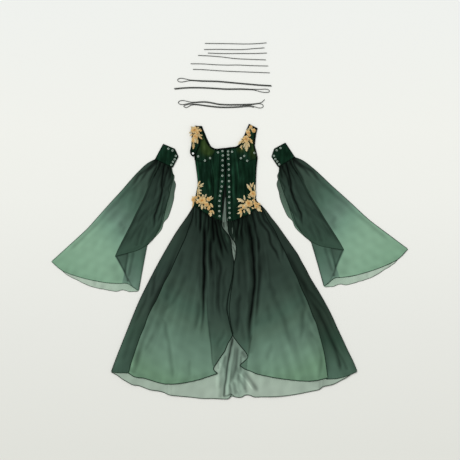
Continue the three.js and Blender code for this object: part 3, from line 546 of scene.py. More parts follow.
def tube(line, radius, sides=6, flat=1.0):
    """Points and faces of a tube with closed ends; `flat` squeezes its height."""
    line = np.asarray(line, float)
    heading = np.gradient(line, axis=0)
    heading /= np.maximum(np.linalg.norm(heading, axis=1)[:, None], 1e-9)
    across = np.stack([-heading[:, 1], heading[:, 0], np.zeros(len(line))], axis=1)
    across /= np.maximum(np.linalg.norm(across, axis=1)[:, None], 1e-9)
    up = np.cross(heading, across)
    up *= np.where(up[:, 2:] < 0, -1, 1)
    turn = np.arange(sides) / sides * 2 * math.pi
    rings = (
        line[:, None] + radius * np.cos(turn)[None, :, None] * across[:, None]
        + radius * flat * np.sin(turn)[None, :, None] * up[:, None]
    ).reshape(-1, 3)
    return rings, closed_tube(len(line), sides)


def joined(parts):
    """Several (points, faces) as one."""
    points, faces, count = [], [], 0
    for some_points, some_faces in parts:
        points.append(np.asarray(some_points, float))
        faces += [tuple(corner + count for corner in face) for face in some_faces]
        count += len(some_points)
    return np.vstack(points), faces


def coons(top, bottom, left, right):
    """A grid between four edges. Top and bottom run to the right, left and right run down."""
    u = np.linspace(0, 1, len(top))[None, :, None]
    v = np.linspace(0, 1, len(left))[:, None, None]
    corners = (1 - v) * mix(top[0], top[-1], u) + v * mix(bottom[0], bottom[-1], u)
    return mix(left[:, None], right[:, None], u) + mix(top[None], bottom[None], v) - corners


# ------------------------------------------------------------ laces

LACE_RADIUS = 1.6
LACE_REST = 1.7  # height of a lace's middle
SHORT_LACES = [
    [(-134, 1178), (-80, 1177.5), (0, 1176.5), (90, 1175), (150, 1177), (198, 1181)],
    [(-139, 1145), (-60, 1146), (0, 1145), (71, 1145), (130, 1150), (187, 1154)],
    [(-118, 1126), (-70, 1124), (-21, 1123), (60, 1123.5), (130, 1123.5), (200, 1126)],
    [(-171, 1113), (-120, 1111), (-55, 1106), (32, 1096), (110, 1092), (195, 1089)],
    [(-211, 1068), (-150, 1067.5), (-80, 1063), (-6, 1061), (40, 1061.5), (120, 1058), (207, 1056)],
    [(-199, 1038), (-140, 1036), (-70, 1031), (3, 1027), (110, 1023), (216, 1019)],
]
FOLDED_LACES = [
    [
        (224, 951), (160, 955), (90, 961), (0, 969), (-64, 974.7), (-150, 977.2), (-215, 981), (-240, 986),
        (-262, 990), (-277, 987), (-282, 979.5), (-277, 972.5), (-262, 969.5), (-240, 972.5), (-215, 976.7),
        (-150, 972.8), (-64, 970.3), (0, 964.7), (90, 956.7), (160, 950.6), (226, 946.6),
    ],
    [
        (-300, 935), (-232, 940.2), (-160, 940.7), (-69, 936.4), (-26, 933.4), (68, 933.3), (133, 930.2),
        (165, 930), (195, 931), (210, 927), (214.5, 920.5), (209, 914.5), (195, 913), (165, 917),
        (133, 925.6), (68, 929), (-26, 929.2), (-69, 932.1), (-160, 936.3), (-232, 935.9), (-298, 930.5),
    ],
]
LONG_LACE = [
    (188, 875), (172, 860), (148, 854), (111, 851), (39, 849), (-15, 849), (-62, 852), (-91, 858),
    (-135, 864), (-207, 861), (-234, 866), (-256, 870), (-272, 866), (-278, 858), (-270, 850), (-254, 847.5),
    (-234, 851.5), (-207, 856), (-135, 859.5), (-91, 853.5), (-62, 847.5), (-15, 844.5), (39, 844.5),
    (111, 846.5), (160, 852), (176, 848), (181, 839), (173, 830.5), (158, 829.5), (111, 841.5), (39, 837),
    (-15, 835), (-69, 836.5), (-120, 842.5), (-203, 850.5), (-235, 846), (-249, 838.5), (-236, 831.5),
    (-203, 845.7), (-120, 838), (-69, 832), (-15, 830.5), (39, 832), (111, 836.5), (130, 832),
]


def lace(name, knots):
    points = place(along([(x, y, LACE_REST) for x, y in knots], 12 * len(knots)))
    data = bpy.data.curves.new(name, "CURVE")
    data.dimensions = "3D"
    spline = data.splines.new("POLY")
    spline.points.add(len(points) - 1)
    spline.points.foreach_set("co", np.hstack([points, np.ones((len(points), 1))]).ravel())
    data.bevel_depth = LACE_RADIUS / 1000
    data.bevel_resolution = 3
    data.use_fill_caps = True
    data.materials.append(CORD)
    piece = attach(show("cord_" + name, data), [name])


for number, knots in enumerate(SHORT_LACES, 1):
    lace(f"lace_short_{number}", knots)
for number, knots in enumerate(FOLDED_LACES, 1):
    lace(f"lace_folded_{number}", knots)
lace("lace_long", LONG_LACE)


# ------------------------------------------------------------ sheets of chiffon

class Cloth:
    """One layer of cloth between four edges, with its height at any point on the table.

    `steps` is its number of points across and down, `level` the height of its edge, `loft` how far it
    rises inside and `reach` over what distance. `over` is the layers below it, each with a gap. `gather` is
    the number of gathers at its top, their length, height and painted shade, and `gather_root_shade` how much
    painted shade lies at their roots. `frill` is the height of the waves in its bottom edge, and `folds` the
    painted shade of its small folds."""

    SWELL, SWELL_SIZE = 0.25, 210  # uneven swells: their share of the loft, and their size
    CLOUD, CLOUD_SIZE = 0.06, 60  # uneven patches in the shade: how dark, and their size
    FOLD_RISE = 1.5
    FRILL_REACH = 22  # how far from the bottom edge its waves go
    CLIMB = 9  # over what distance it climbs onto a layer below
    ROOT = 9  # how far the painted shade at the gathers' roots reaches

    def __init__(self, name, edges, steps, level, loft, reach, creases=(), over=(), gather=None, seed=1,
                 frill=0.0, folds=0.0, gather_root_shade=0.55):
        self.name, self.level, self.loft, self.reach = name, level, loft, reach
        self.creases, self.over, self.gather, self.seed, self.frill = creases, over, gather, seed, frill
        self.folds, self.gather_root_shade = folds, gather_root_shade
        across, down = steps
        counts = {"top": across, "bottom": across, "left": down, "right": down}
        top, bottom, left, right = (along(edges[key], count) for key, count in counts.items())
        left[0], left[-1], right[0], right[-1] = top[0], bottom[0], top[-1], bottom[-1]
        self.grid = coons(top, bottom, left, right)
        top, right, bottom, left = (along(edges[key], 34) for key in ("top", "right", "bottom", "left"))
        self.hem = bottom
        self.outline = np.vstack([top, right[1:], bottom[::-1][1:], left[::-1][1:-1]])

    def height(self, points):
        """Height of the cloth, its shade, and how far inside its outline each point is."""
        within = inside(points, self.outline)
        rise, shade = relief(points, self.creases)
        full = smooth((within + 2) / self.reach)
        z = self.level + self.loft * full * (1 + self.SWELL * ripple(points, self.SWELL_SIZE, self.seed))
        z += rise * smooth((within + 4) / 16)
        if self.folds:
            soft = fan(points, self.seed)
            z += self.FOLD_RISE * soft * smooth(within / 20)
            shade = darker(shade, self.folds * soft)
        if self.frill:
            gap, share = nearest(points, self.hem)
            wave = 0.5 + 0.5 * np.sin(share * 47 + 2.2 * np.sin(share * 17 + self.seed))
            z += self.frill * wave * np.exp(-np.abs(gap) / self.FRILL_REACH)
        z = np.maximum(z, self.level)
        for lower, clearance in self.over:
            below, _, depth = lower.height(points)
            climbed = smooth((depth + self.CLIMB) / self.CLIMB)
            z = np.maximum(z, mix(self.level, below + clearance, climbed))
        return z, shade, within

    def gathered(self, points, across, z, shade):
        """Height and painted shade with the gathers that hang from the top edge: shade in their hollows and
        at their roots.
        """
        count, length, rise, dark = self.gather
        wobble = 0.9 * np.sin(across * 31 + self.seed) + 0.7 * np.sin(across * 73 + 2 * self.seed)
        below = np.abs(nearest(points, along(self.grid[0], 30))[0])
        reach = length * (0.6 + 0.4 * np.sin(across * 41 + 1.7 * self.seed))
        fade = np.exp(-((below / reach) ** 1.3))
        wave = np.cos(across * count * 2 * math.pi + wobble)
        z = z + rise * fade * smooth(below / 14) * (0.5 + 0.5 * wave)
        shade = darker(shade, dark * fade * (0.5 - 0.5 * wave) ** 2)
        return z, darker(shade, self.gather_root_shade * bell(below / self.ROOT))

    def make(self, material, slot, tone, replaced, rests_on, flat, area, hem, held="gathered",
             sides=("bottom", "left", "right"), side=None, move=None):
        """The piece, with a rolled hem on its `sides`. `hem` is the hem's material and radius, `flat` and
            `area` are the size of the cloth laid flat and are not used, and `side` and `move` name and place
            a sleeve."""
        rows, columns = self.grid.shape[:2]
        name = f"{self.name}_{side}_layer" if side else self.name
        points = self.grid.reshape(-1, 2)
        across = np.tile(np.linspace(0, 1, columns), rows)
        down = np.repeat(np.linspace(0, 1, rows), columns)
        z, shade, _ = self.height(points)
        if self.gather:
            z, shade = self.gathered(points, across, z, shade)
        cloud = self.CLOUD * ripple(points, self.CLOUD_SIZE, self.seed + 5)
        top = np.column_stack([points, z])
        if move:
            top = move(top)
        piece = build(
            name, top, grid_faces(rows, columns, flip=move is not None), material, slot, replaced,
            tone=tone(points, down), shade=np.clip(shade + cloud, -8, 0.96),
        )
        surface = top.reshape(rows, columns, 3)
        lines = {"bottom": surface[-1], "left": surface[:, 0], "right": surface[:, -1]}
        hem_material, radius = hem
        hem_points, hem_faces = joined([
            tube(lines[key][::2] + (0, 0, radius * 0.3), radius, 5, 0.8) for key in sides
        ])
        rolled = build(
            name + "_rolled_hem", hem_points, hem_faces, hem_material, slot,
            tone=tone(hem_points[:, :2], np.ones(len(hem_points))), shade=np.zeros(len(hem_points)),
        )


SKIRT_TOP, SKIRT_FOOT = 260, -620
DYE_CENTRE = (-22, 250)
# Up to these lines the free edges of the overskirt lie double.
DOUBLE_LEFT = along(listed("-118,60 -119,-60 -120,-150 -120,-246 -113,-338 -104,-442 -94,-534 -86,-567"), 40)
DOUBLE_RIGHT = along(listed("124,200 131,60 130,-76 122,-174 115,-259 110,-370 104,-440 98,-515"), 40)


def away_from_waist(points):
    return np.hypot(points[:, 0] - DYE_CENTRE[0], points[:, 1] - DYE_CENTRE[1])


def left_tone(points, down):
    """Where the free edge lies double, it is darker than the single cloth beside it."""
    away = away_from_waist(points)
    sharp = mix(90, 4, smooth((-60 - points[:, 1]) / 200))
    double = smooth((nearest(points, DOUBLE_LEFT)[0] + sharp) / (1.3 * sharp))
    return np.clip((away - (55 + 95 * smooth((away - 200) / 320)) * double) / DYE_REACH, 0, 1)


def right_tone(points, down):
    away = away_from_waist(points)
    double = smooth((-nearest(points, DOUBLE_RIGHT)[0] + 25) / 50)
    single = 76 * np.exp(-(((away - 470) / 240) ** 4))
    lapped = 72 + 125 * smooth((away - 240) / 280)
    return np.clip((away - mix(single, lapped, double)) / DYE_REACH, 0, 1)


def side_tone(points, down):
    return np.clip((SKIRT_TOP - points[:, 1]) / (SKIRT_TOP - SKIRT_FOOT), 0, 1)


def under_tone(points, down):
    """Paler towards the hem, and darker where the pleats lie together in the middle."""
    middle = np.exp(-(((points[:, 0] - 20) / 80) ** 4))
    pleats = 0.20 * middle * smooth((-380 - points[:, 1]) / 120)
    return np.clip((250 - points[:, 1]) / 960 - pleats, 0, 1)


FAN_APEX = (-26, 735)


def fan(points, seed):
    """Uneven soft folds that run out from a point above the waist, mostly between -1 and 1."""
    chance = np.random.default_rng(seed)
    angle = np.arctan2(points[:, 0] - FAN_APEX[0], FAN_APEX[1] - points[:, 1])
    out = np.hypot(points[:, 0] - FAN_APEX[0], points[:, 1] - FAN_APEX[1]) / 1000
    total = np.zeros(len(points))
    for pleats in (46, 71, 103, 149):
        phase, drift, bend, slow = chance.uniform(0, 2 * math.pi, 4)
        strength = 0.5 + 0.5 * np.sin(out * (5 + slow) + angle * 9 + drift)
        wave = np.sin(angle * pleats + phase + 0.7 * np.sin(out * 6 + bend))
        total += strength * (wave - 0.5 * np.maximum(-wave, 0) ** 3)
    return total / 2.2


# Where the seams of the bodice meet the waist.
WAIST_LEFT = listed("-195,303 -146,270 -98,243 -71,228 -41,220")
WAIST_RIGHT = listed("-17,218 14,220 70,240 118,268 170,303")

UNDER_CREASES = creases("""
    streak 90 0 0.17 0.2 0.25: 10,-390 16,-470 20,-560 22,-640
    streak 34 0 0.2 0.02 0.4: 16,-380 22,-440 30,-490 36,-540
    streak 6 0 0.55 0.02 0.4: 18,-402 16,-425 11,-450 7,-470
    trough 6.5 6 0.84 0.03 0.05: 16,-410 10,-440 4,-470 1,-490 -5,-520 -12,-556 -17,-600 -21,-640 -28,-676
        -30,-712 -33,-738
    trough 8 3 0.4 0.2 0.3: -20,-500 -26,-530 -27,-560 -26,-590
    trough 8 4 0.28 0.3 0.05: -34,-600 -38,-640 -44,-680 -46,-710 -50,-738
    trough 9 5.5 0.5 0.15 0.2: 43,-450 41,-480 39,-510 37,-545 32,-580 22,-606 12,-640 2,-662
    trough 7 3.5 0.34 0.2 0.3: 62,-500 60,-530 58,-560 62,-590 60,-612
    trough 8 3.5 0.34 0.3 0.1: 14,-640 27,-670 30,-690 34,-720
    trough 7 3 0.32 0.2 0.1: -4,-655 4,-684 8,-708 2,-732
    trough 8 4 0.36 0.2 0.1: 50,-560 46,-600 54,-640 70,-662 80,-686 82,-700
    trough 12 4 0.44 0.2 0.2: 74,-582 94,-615 113,-642 131,-668 145,-690 156,-712
    streak 4 0 -0.36 0.2 0.2: 28,-590 64,-617 92,-648 113,-676 133,-704
    streak 30 0 0.16 0.3 0.1: 500,-600 496,-650 490,-690
    trough 7 2.5 0.26 0.3 0.2: 98,-560 124,-584 140,-600 150,-612
    trough 6 2 0.22 0.3 0.2: 30,-690 46,-712 54,-735
    ridge 8 7 -0.1 0.2 0.1: 24,-440 18,-510 6,-570 -2,-640 -8,-728
    ridge 8 6 -0.08 0.3 0.1: 56,-470 56,-530 48,-590 40,-650 44,-690 60,-722
    ridge 8 6 -0.12 0.3 0.1: -14,-480 -34,-530 -50,-570 -56,-610 -60,-690
    streak 12 0 -0.3 0.3 0.3: -50,-540 -54,-570 -54,-600
    streak 13 0 0.52 0.3 0.2: 60,-478 72,-495 82,-512 86,-525
    streak 9 0 0.4 0.3 0.1: 70,-590 80,-640 86,-680 90,-716
    streak 12 0 0.24 0.3 0.2: 34,-545 34,-580 36,-620 38,-650
    streak 5 0 0.35 0.3 0.2: -61,-540 -61,-560 -63,-585
    streak 4 0 0.7 0.1 0.1: -30,-730 -8,-721 10,-713
    lip 6 2 0.14 0.1 0.05: -335,-560 -335,-640 -335,-722
    lip 6 2 0.12 0.1 0.05: -313,-560 -313,-640 -313,-726
    lip 6 2 0.2 0.1 0.05: 488,-560 488,-640 488,-690
    lip 5 2 0.16 0.1 0.05: 506,-560 506,-620 506,-676
    streak 4 0 0.8 0.1 0.2: -34,230 -33,210 -32,195 -30,178
    streak 3.5 0 0.65 0.1 0.2: -16,222 -16,210 -14,205 -13,186
    streak 5 0 0.4 0.1 0.1: -10,178 -6,165 -2,156 6,140 14,122
    trough 4 1.5 0.55 0.1 0.3: 8,130 13,112 20,92 28,78
    trough 4 1.5 0.6 0.1 0.3: 18,84 24,64 30,44
    trough 3.5 1.5 0.5 0.1 0.3: 31,64 30,40 27,14
    streak 5 0 0.35 0.1 0.1: 4,150 8,130 12,118
""")
UNDER = Cloth("underskirt_front_layer", {
    "top": listed("-192,303 -110,282 -12,276 85,282 168,303"),
    "left": listed("-192,303 -285,150 -368,0 -484,-225 -556,-400 -612,-540 -638,-597"),
    "right": listed("168,303 285,150 376,0 497,-225 585,-400 650,-540 684,-594"),
    "bottom": listed("""
        -638,-597 -604,-615 -588,-628 -552,-650 -521,-666 -497,-668 -453,-684 -425,-693 -398,-696 -356,-706
        -331,-718 -271,-726 -200,-733 -146,-739 -90,-739 -40,-741 -8,-740 3,-729 11,-713 20,-727 66,-732
        79,-721 110,-721 128,-730 180,-730 275,-727 360,-716 440,-700 484,-690 500,-676 559,-662 600,-641
        640,-618 663,-602 684,-594
    """),
}, (230, 180), 2.6, 0.8, 40, UNDER_CREASES, seed=3, frill=3.0, folds=0.07)

SIDE_LEFT = Cloth("overskirt_side_left_layer", {
    "top": [(-195, 303), (-182, 297)],
    "left": listed("""
        -195,303 -202,282 -211,268 -222,254 -242,226 -274,180 -294,150 -378,5 -454,-141 -494,-225 -565,-400
        -620,-540 -640,-595
    """),
    "right": listed("-182,297 -220,150 -285,0 -388,-225 -466,-400 -514,-540 -532,-604"),
    "bottom": listed("-640,-595 -606,-600 -551,-601 -532,-604"),
# Its first three streaks are painted shadow that the front panel's edge casts on the gore.
}, (44, 230), 3.9, 2.4, 26, creases("""
    streak 12 0 0.34 0.05 0.1: -200,285 -208,235 -226,190 -246,140 -268,92 -290,44 -310,-5 -330,-52
    streak 11 0 0.6 0.15 0.25: -308,0 -330,-50 -350,-96 -366,-130 -388,-172 -402,-204 -420,-240 -438,-275
        -458,-310
    streak 9 0 0.16 0.2 0.1: -452,-300 -470,-352 -492,-400 -508,-448 -522,-496 -538,-544 -546,-580
    trough 9 2.5 0.34 0.3 0.3: -388,-40 -398,-66 -406,-92 -409,-130 -414,-165 -424,-190 -436,-220
    trough 9 2.5 0.26 0.3 0.3: -430,-120 -442,-165 -458,-220 -474,-252 -488,-285 -504,-315 -525,-350
    ridge 12 3 0.12 0.3 0.3: -300,90 -360,-20 -420,-130 -480,-250 -540,-400
    trough 10 2 0.14 0.3 0.2: -500,-330 -540,-440 -580,-560
    streak 8 0 -0.16 0.2 0.1: -460,-160 -500,-250 -560,-400 -610,-530 -628,-585
"""), over=[(UNDER, 0.8)], seed=4, frill=2.6, folds=0.12)

SIDE_RIGHT = Cloth("overskirt_side_right_layer", {
    "top": [(158, 298), (170, 303)],
    "left": listed("158,298 231,150 301,0 406,-225 482,-400 514,-540 520,-634"),
    "right": listed("""
        170,303 182,290 201,268 220,241 253,200 295,141 338,80 365.5,40 386.5,0 409.5,-40 429.5,-80 453,-120
        478,-160 528.5,-250 553.5,-300 580,-360 608.5,-420 636,-480 665.5,-540 687,-593
    """),
    "bottom": listed("520,-634 570,-632 606,-625 650,-610 687,-593"),
# Its first two streaks are painted shadow that the front panel's edge casts on the gore.
}, (48, 230), 3.9, 2.6, 26, creases("""
    streak 13 0 0.46 0.1 0.3: 306,60 320,20 338,-10 356,-50 377,-90 402,-128 412,-160 428,-200 446,-235
    streak 10 0 0.22 0.3 0.1: 440,-225 458,-285 474,-330 490,-380 508,-440 520,-500 527,-560 528,-620
    trough 10 3.5 0.52 0.2 0.1: 430,-190 447,-224 463,-248 479,-272 490,-296 503,-322 514,-345 524,-370
        534,-392 545,-418 560,-450 575,-490 590,-540 600,-600
    trough 8 2.2 0.3 0.3 0.3: 404,-128 420,-152 445,-178 463,-200 480,-222 500,-250 520,-290
    trough 8 2 0.2 0.3 0.3: 500,-215 520,-270 545,-330 570,-390
    trough 8 2.2 0.3 0.3 0.1: 553,-436 580,-480 606,-521 639,-593
    ridge 11 4 0.1 0.3 0.2: 350,0 420,-110 500,-250 560,-380 620,-540
    streak 8 0 -0.2 0.2 0.1: 440,-130 500,-230 560,-350 620,-480 665,-575
"""), over=[(UNDER, 0.8)], seed=5, frill=2.6, folds=0.14)

LEFT = Cloth("overskirt_front_left_layer", {
    "top": WAIST_LEFT,
    "left": listed("""
        -195,303 -200,250 -206,225 -222,180 -240,128 -262,80 -284,32 -305,-16 -327,-64 -354,-112 -375,-160
        -397,-208 -424,-256 -446,-304 -462,-352 -483,-400 -500,-448 -516,-496 -532,-544 -541,-580 -547,-601
    """),
    "bottom": listed("""
        -547,-601 -533,-610 -521,-619 -497,-625 -466,-628 -436,-637 -398,-649 -356,-659 -315,-661 -271,-657
        -228,-651 -168,-637 -132,-626 -106,-617 -86,-610 -64,-603
    """),
    "right": listed("""
        -41,220 -44,212 -44.5,200 -41,188 -34,176 -26,166 -17,155 -6,142 2,124 7,105 10,75 13,41 20,5 20,-60
        5,-180 -2,-270 8,-350 16,-390 6,-415 -7,-436 -18,-460 -28,-484 -45,-508 -61,-532 -77,-556 -88,-576
        -84,-588 -72,-598 -64,-603
    """),
}, (142, 270), 5.2, 4.6, 34, creases("""
    streak 15 0 0.2 0.3 0.3: 318,-410 328,-460 336,-500 342,-540
    streak 30 0 0.16 0.3 0.02: 470,-520 486,-580 494,-628
    streak 15 0 0.24 0.3 0.05: -474,-440 -487,-480 -505,-540 -526,-603
    trough 6.5 5 0.95 0.02 0.3: -157,290 -157,260 -157,212 -158,180 -160,140
    trough 9 2.5 0.18 0.3 0.3: -160,130 -160,60 -163,0 -163,-60 -163,-130 -158,-195
    trough 11 4.5 0.38 0.35 0.35: -158,-180 -163,-220 -163,-250 -165,-280 -172,-310 -180,-345 -190,-385
    trough 10 7 0.96 0.1 0.4: -135,220 -135.5,170 -135.5,100 -138,40 -140,0 -136,-50 -138,-110 -142,-170
        -142,-230 -143,-290 -148,-340 -155,-390 -160,-430
    trough 6 3 0.6 0.03 0.4: -127,268 -129,235 -133,205 -134,180
    trough 6 3 0.78 0.05 0.4: -115,262 -115,225 -115,190 -120,150 -121,120
    trough 9 5 0.84 0.2 0.4: -97,145 -101,110 -103,80 -104,50 -103,20 -100,-20 -98,-70 -99,-110
    trough 8 1.5 0.14 0.3 0.3: -92,-90 -82,-150 -82,-190
    trough 10 5.5 0.95 0.05 0.25: -94,245 -93,215 -92,190 -89,160 -87,120 -90,86
    trough 9 5 0.95 0.08 0.35: -84,235 -77,212 -70,180 -66,150 -58,120 -50,90 -44,60 -36,30 -22,0
    trough 6.5 3.5 0.72 0.05 0.3: -66,235 -60,215 -50,180 -46,150 -38,118 -28,92 -18,66 -7,44 2,20
    trough 6 2.5 0.5 0.1 0.3: -52,222 -40,185 -30,155 -18,120
    trough 9 4.5 0.52 0.2 0.3: -74,80 -68,30 -56,0 -49,-30 -48,-55 -55,-85 -60,-130 -61,-180 -61,-230
        -56,-265 -48,-300 -36,-335
    trough 9 2.5 0.28 0.2 0.3: -12,-20 -26,-70 -32,-110 -26,-150 -32,-200 -38,-230 -33,-260 -27,-300
    streak 6 0 -1.5 0.25 0.3: -50,204 -42,180 -33,160 -22,138 -14,120 -5,86
    streak 7 0 0.45 0.2 0.2: 10,-100 0,-160 -9,-196 -14,-244 -14,-270 -9,-300
    trough 6 3 0.52 0.05 0.5: -178,282 -180,236 -180,200 -174,160
    trough 8 3 0.36 0.1 0.4: -196,270 -203,236 -210,205 -220,180 -232,150
    ridge 8 7 0.16 0.1 0.35: -148,238 -147,55 -149,-63 -150,-167 -152,-256
    ridge 10 6 0.16 0.2 0.4: -116,100 -118,-10 -112,-110 -108,-220
    ridge 9 6 0.14 0.2 0.3: -80,60 -76,-20 -76,-130 -80,-230 -72,-330
    trough 12 3 0.2 0.25 0.25: -228,-50 -240,-88 -252,-120 -262,-150 -280,-178 -300,-212 -325,-242 -345,-262
        -356,-290
    trough 12 3 0.17 0.3 0.1: -392,-240 -398,-275 -417,-304 -428,-335 -445,-370 -458,-405 -472,-440
        -480,-475 -490,-515 -498,-550 -510,-600
    trough 10 2 0.12 0.3 0.3: -400,-370 -412,-400 -425,-425 -440,-450 -452,-475 -462,-500
    trough 10 3 0.2 0.15 0.2: -376,-296 -347,-335 -342,-375 -335,-405 -325,-450 -319,-500 -314,-550
        -306,-600 -310,-650
    trough 10 2 0.13 0.3 0.3: -253,70 -257,30 -262,0 -270,-40
    trough 12 2.5 0.14 0.3 0.3: -330,-100 -334,-136 -336,-180 -338,-232
    trough 10 2.5 0.16 0.3 0.3: -378,-185 -384,-210 -392,-240 -412,-280
    trough 12 2.5 0.1 0.3 0.3: -200,60 -198,20 -204,-40 -215,-120
    trough 9 2 0.16 0.3 0.3: -109,-300 -106,-370 -100,-436
    trough 9 2.5 0.16 0.3 0.3: -28,-350 -34,-400 -60,-440 -62,-480
    trough 9 2 0.1 0.3 0.3: -212,-520 -214,-580 -210,-640
    streak 40 0 0.24 0.25 0.1: -330,-90 -356,-140 -384,-200 -410,-260 -440,-320 -464,-380 -484,-440
        -502,-500 -520,-570
    streak 70 0 0.08 0.3 0.2: -280,20 -330,-90 -384,-200 -440,-320 -484,-440 -520,-570
    streak 26 0 0.1 0.3 0.3: -142,-200 -142,-280 -146,-340 -152,-420
    streak 13 0 0.14 0.2 0.3: -144,-200 -144,-300 -146,-380 -150,-450
    streak 42 0 0.16 0.3 0.2: -238,110 -256,30 -280,-60 -305,-120 -345,-170 -372,-200
    streak 26 0 0.18 0.3 0.2: -24,-230 -12,-290 -2,-340 8,-390
    streak 9 0 -0.15 0.2 0.1: -436,-315 -456,-352 -474,-400 -492,-448 -508,-496 -522,-544 -534,-590
    lip 5 1.6 0.4 0.25 0.02: -118,-130 -120,-246 -113,-338 -104,-412 -98,-450 -93,-532 -86,-567
    lip 5 1.2 0.3 0.1 0.02: -226,180 -244,128 -266,80 -309,-16 -358,-112 -401,-208 -450,-304 -487,-400
        -520,-496 -543,-580
"""), over=[(UNDER, 0.9), (SIDE_LEFT, 0.9)], gather=(15, 62, 3.0, 0.55), seed=6, frill=3.4, folds=0.13)

RIGHT = Cloth("overskirt_front_right_layer", {
    "top": WAIST_RIGHT,
    "left": listed("""
        -17,218 -11,212 -9,190 -8,168 -3,150 6,133 16,118 26,104 33,84 34,50 30,18 24,-4 17,-60 6,-120
        -9,-190 -15,-250 -8,-300 2,-345 14,-392 24,-411 42,-436 58,-456 76,-477 92,-500 97,-514 86,-530
        62,-552 54,-560
    """),
    "bottom": listed("""
        54,-560 82,-580 109,-590 148,-606 210,-620 279,-632 345,-640 410,-645 450,-643 488,-637 531,-626
    """),
    "right": listed("""
        170,303 200,235 240,170 270,108 297,55 322,0 340,-40 361,-80 381,-130 394,-160 417,-208 433,-250
        450,-296 466,-330 484,-392 497,-440 509,-488 517,-536 524,-590 529,-626
    """),
}, (142, 270), 5.2, 4.8, 34, creases("""
    trough 6 3 0.5 0.03 0.4: 10,222 8,200 9,180 16,150 20,125
    trough 6 3 0.45 0.03 0.4: 27,226 22,208 28,175 33,140 42,112 38,80
    trough 7 4 0.85 0.03 0.35: 48,238 48.5,205 44,180 40,160 40,135 42,105
    streak 6 0 -0.8 0.2 0.3: 56,212 53,185 50,160 52,130
    trough 7 4 0.8 0.03 0.5: 68,250 68,215 65,185 62,158 69,120 70,60
    trough 6 3 0.5 0.03 0.5: 84,256 84,215 82,185 90,150 92,110
    trough 7 3 0.5 0.03 0.3: 92,262 96,225 100,200 106,180
    trough 12 7.5 0.95 0.06 0.3: 100,226 104,200 107,170 112,145 118,122 120,98 121,72 124,45 128,10 130,-40
        134,-90 133,-130 128,-165 123,-210 117,-260 112,-296 107,-340 107,-400 106,-450 101,-505
    trough 7.5 4.5 0.72 0.05 0.2: 120,268 127,235 135,200 141,160 149,128 155,112 158,70 161,30
    trough 11 5 0.62 0.25 0.3: 160,60 161,20 161,-20 164,-60 161,-100 155,-160 150,-220 146,-270 139,-305
        130,-345
    trough 7 4 0.66 0.05 0.3: 146,285 156,240 168,212 188,184 208,160 215,136 221,100 232,78 250,52 262,20
        274,-8 290,-35
    trough 7 4 0.6 0.05 0.3: 168,290 178,256 190,222 206,205 224,180 238,158 254,134 270,110 280,88 285,60
        288,20 290,-10
    trough 8 3.5 0.4 0.2 0.3: 262,110 285,80 300,55 312,30 322,5
    ridge 9 8.5 0.14 0.08 0.35: 144,190 146,60 146,-40 148,-120 142,-207 134,-290
    ridge 10 6 0.12 0.1 0.3: 90,90 96,0 100,-90 98,-200 92,-320
    ridge 9 6 0.1 0.2 0.3: 186,100 198,20 206,-60 216,-140
    trough 13 4.5 0.24 0.2 0.3: 212,-60 218,-104 222,-135 238,-165 243,-200 260,-236 272,-270 290,-305
        301,-345 308,-385 320,-425 330,-470 335,-515
    trough 11 3.5 0.24 0.2 0.3: 352,-100 368,-130 380,-160 396,-215 405,-245 398,-280 393,-330 393,-370
        387,-400 387,-460
    trough 11 2.5 0.12 0.3 0.3: 418,-262 432,-296 448,-325 452,-350
    trough 10 3 0.16 0.2 0.02: 425,-355 446,-395 466,-416 482,-440 493,-475 500,-510 495,-555 488,-600
        486,-640
    trough 12 2.5 0.14 0.3 0.3: 228,-430 220,-475 209,-512 206,-550
    trough 12 2.5 0.14 0.3 0.3: 206,-220 209,-260 216,-300 226,-350
    trough 11 4.5 0.44 0.25 0.25: 52,-150 56,-190 48,-225 47,-260 47,-300 42,-340 39,-375 30,-405
    trough 9 2.5 0.24 0.3 0.3: 56,40 53,-10 53,-60 50,-110 54,-160
    streak 7 0 0.4 0.1 0.1: 22,10 18,-30 18,-70 13,-105 7,-140 0,-165
    streak 8 0 0.34 0.1 0.1: -4,-290 4,-335 14,-370 20,-400
    trough 9 2.5 0.24 0.3 0.3: 100,-150 101,-196 98,-240
    trough 10 2.5 0.18 0.3 0.3: 60,-290 66,-340 76,-400 84,-450
    lip 5 1.2 0.3 0.2 0.02: 528,-622 522,-590 515,-536 507,-488 495,-440 482,-392 464,-330 448,-296 431,-250
        415,-208 392,-160 359,-80 338,-40 320,0 295,55 266,112
    streak 42 0 0.2 0.25 0.15: 310,20 340,-50 370,-120 400,-190 430,-262 456,-330 480,-400 500,-470 512,-530
        520,-600
    streak 105 0 0.11 0.25 0.25: 330,40 380,-100 420,-200 456,-320 480,-420 500,-520
    streak 60 0 0.1 0.3 0.3: 200,60 206,0 206,-60 206,-120
    streak 15 0 0.2 0.3 0.3: 172,70 176,20 177,-30 174,-80
    streak 44 0 0.13 0.3 0.3: 284,20 288,-60 290,-140 300,-220
    streak 52 0 0.15 0.3 0.2: 318,-250 334,-330 344,-400 344,-480
    streak 34 0 0.17 0.3 0.3: 372,-300 392,-370 402,-430 410,-500
    streak 13 0 0.17 0.3 0.3: 146,-250 144,-310 138,-360
    streak 14 0 0.22 0.3 0.1: 116,-380 110,-450 112,-500
    streak 24 0 0.16 0.2 0.3: 2,-260 16,-320 24,-370 44,-410
    lip 5 1.6 0.36 0.2 0.1: 126,-380 112,-440 106,-480 100,-515 84,-535 60,-556
"""), over=[(UNDER, 0.9), (SIDE_RIGHT, 0.9), (LEFT, 1.0)], gather=(17, 62, 3.0, 0.55), seed=8, frill=3.4,
    folds=0.13)


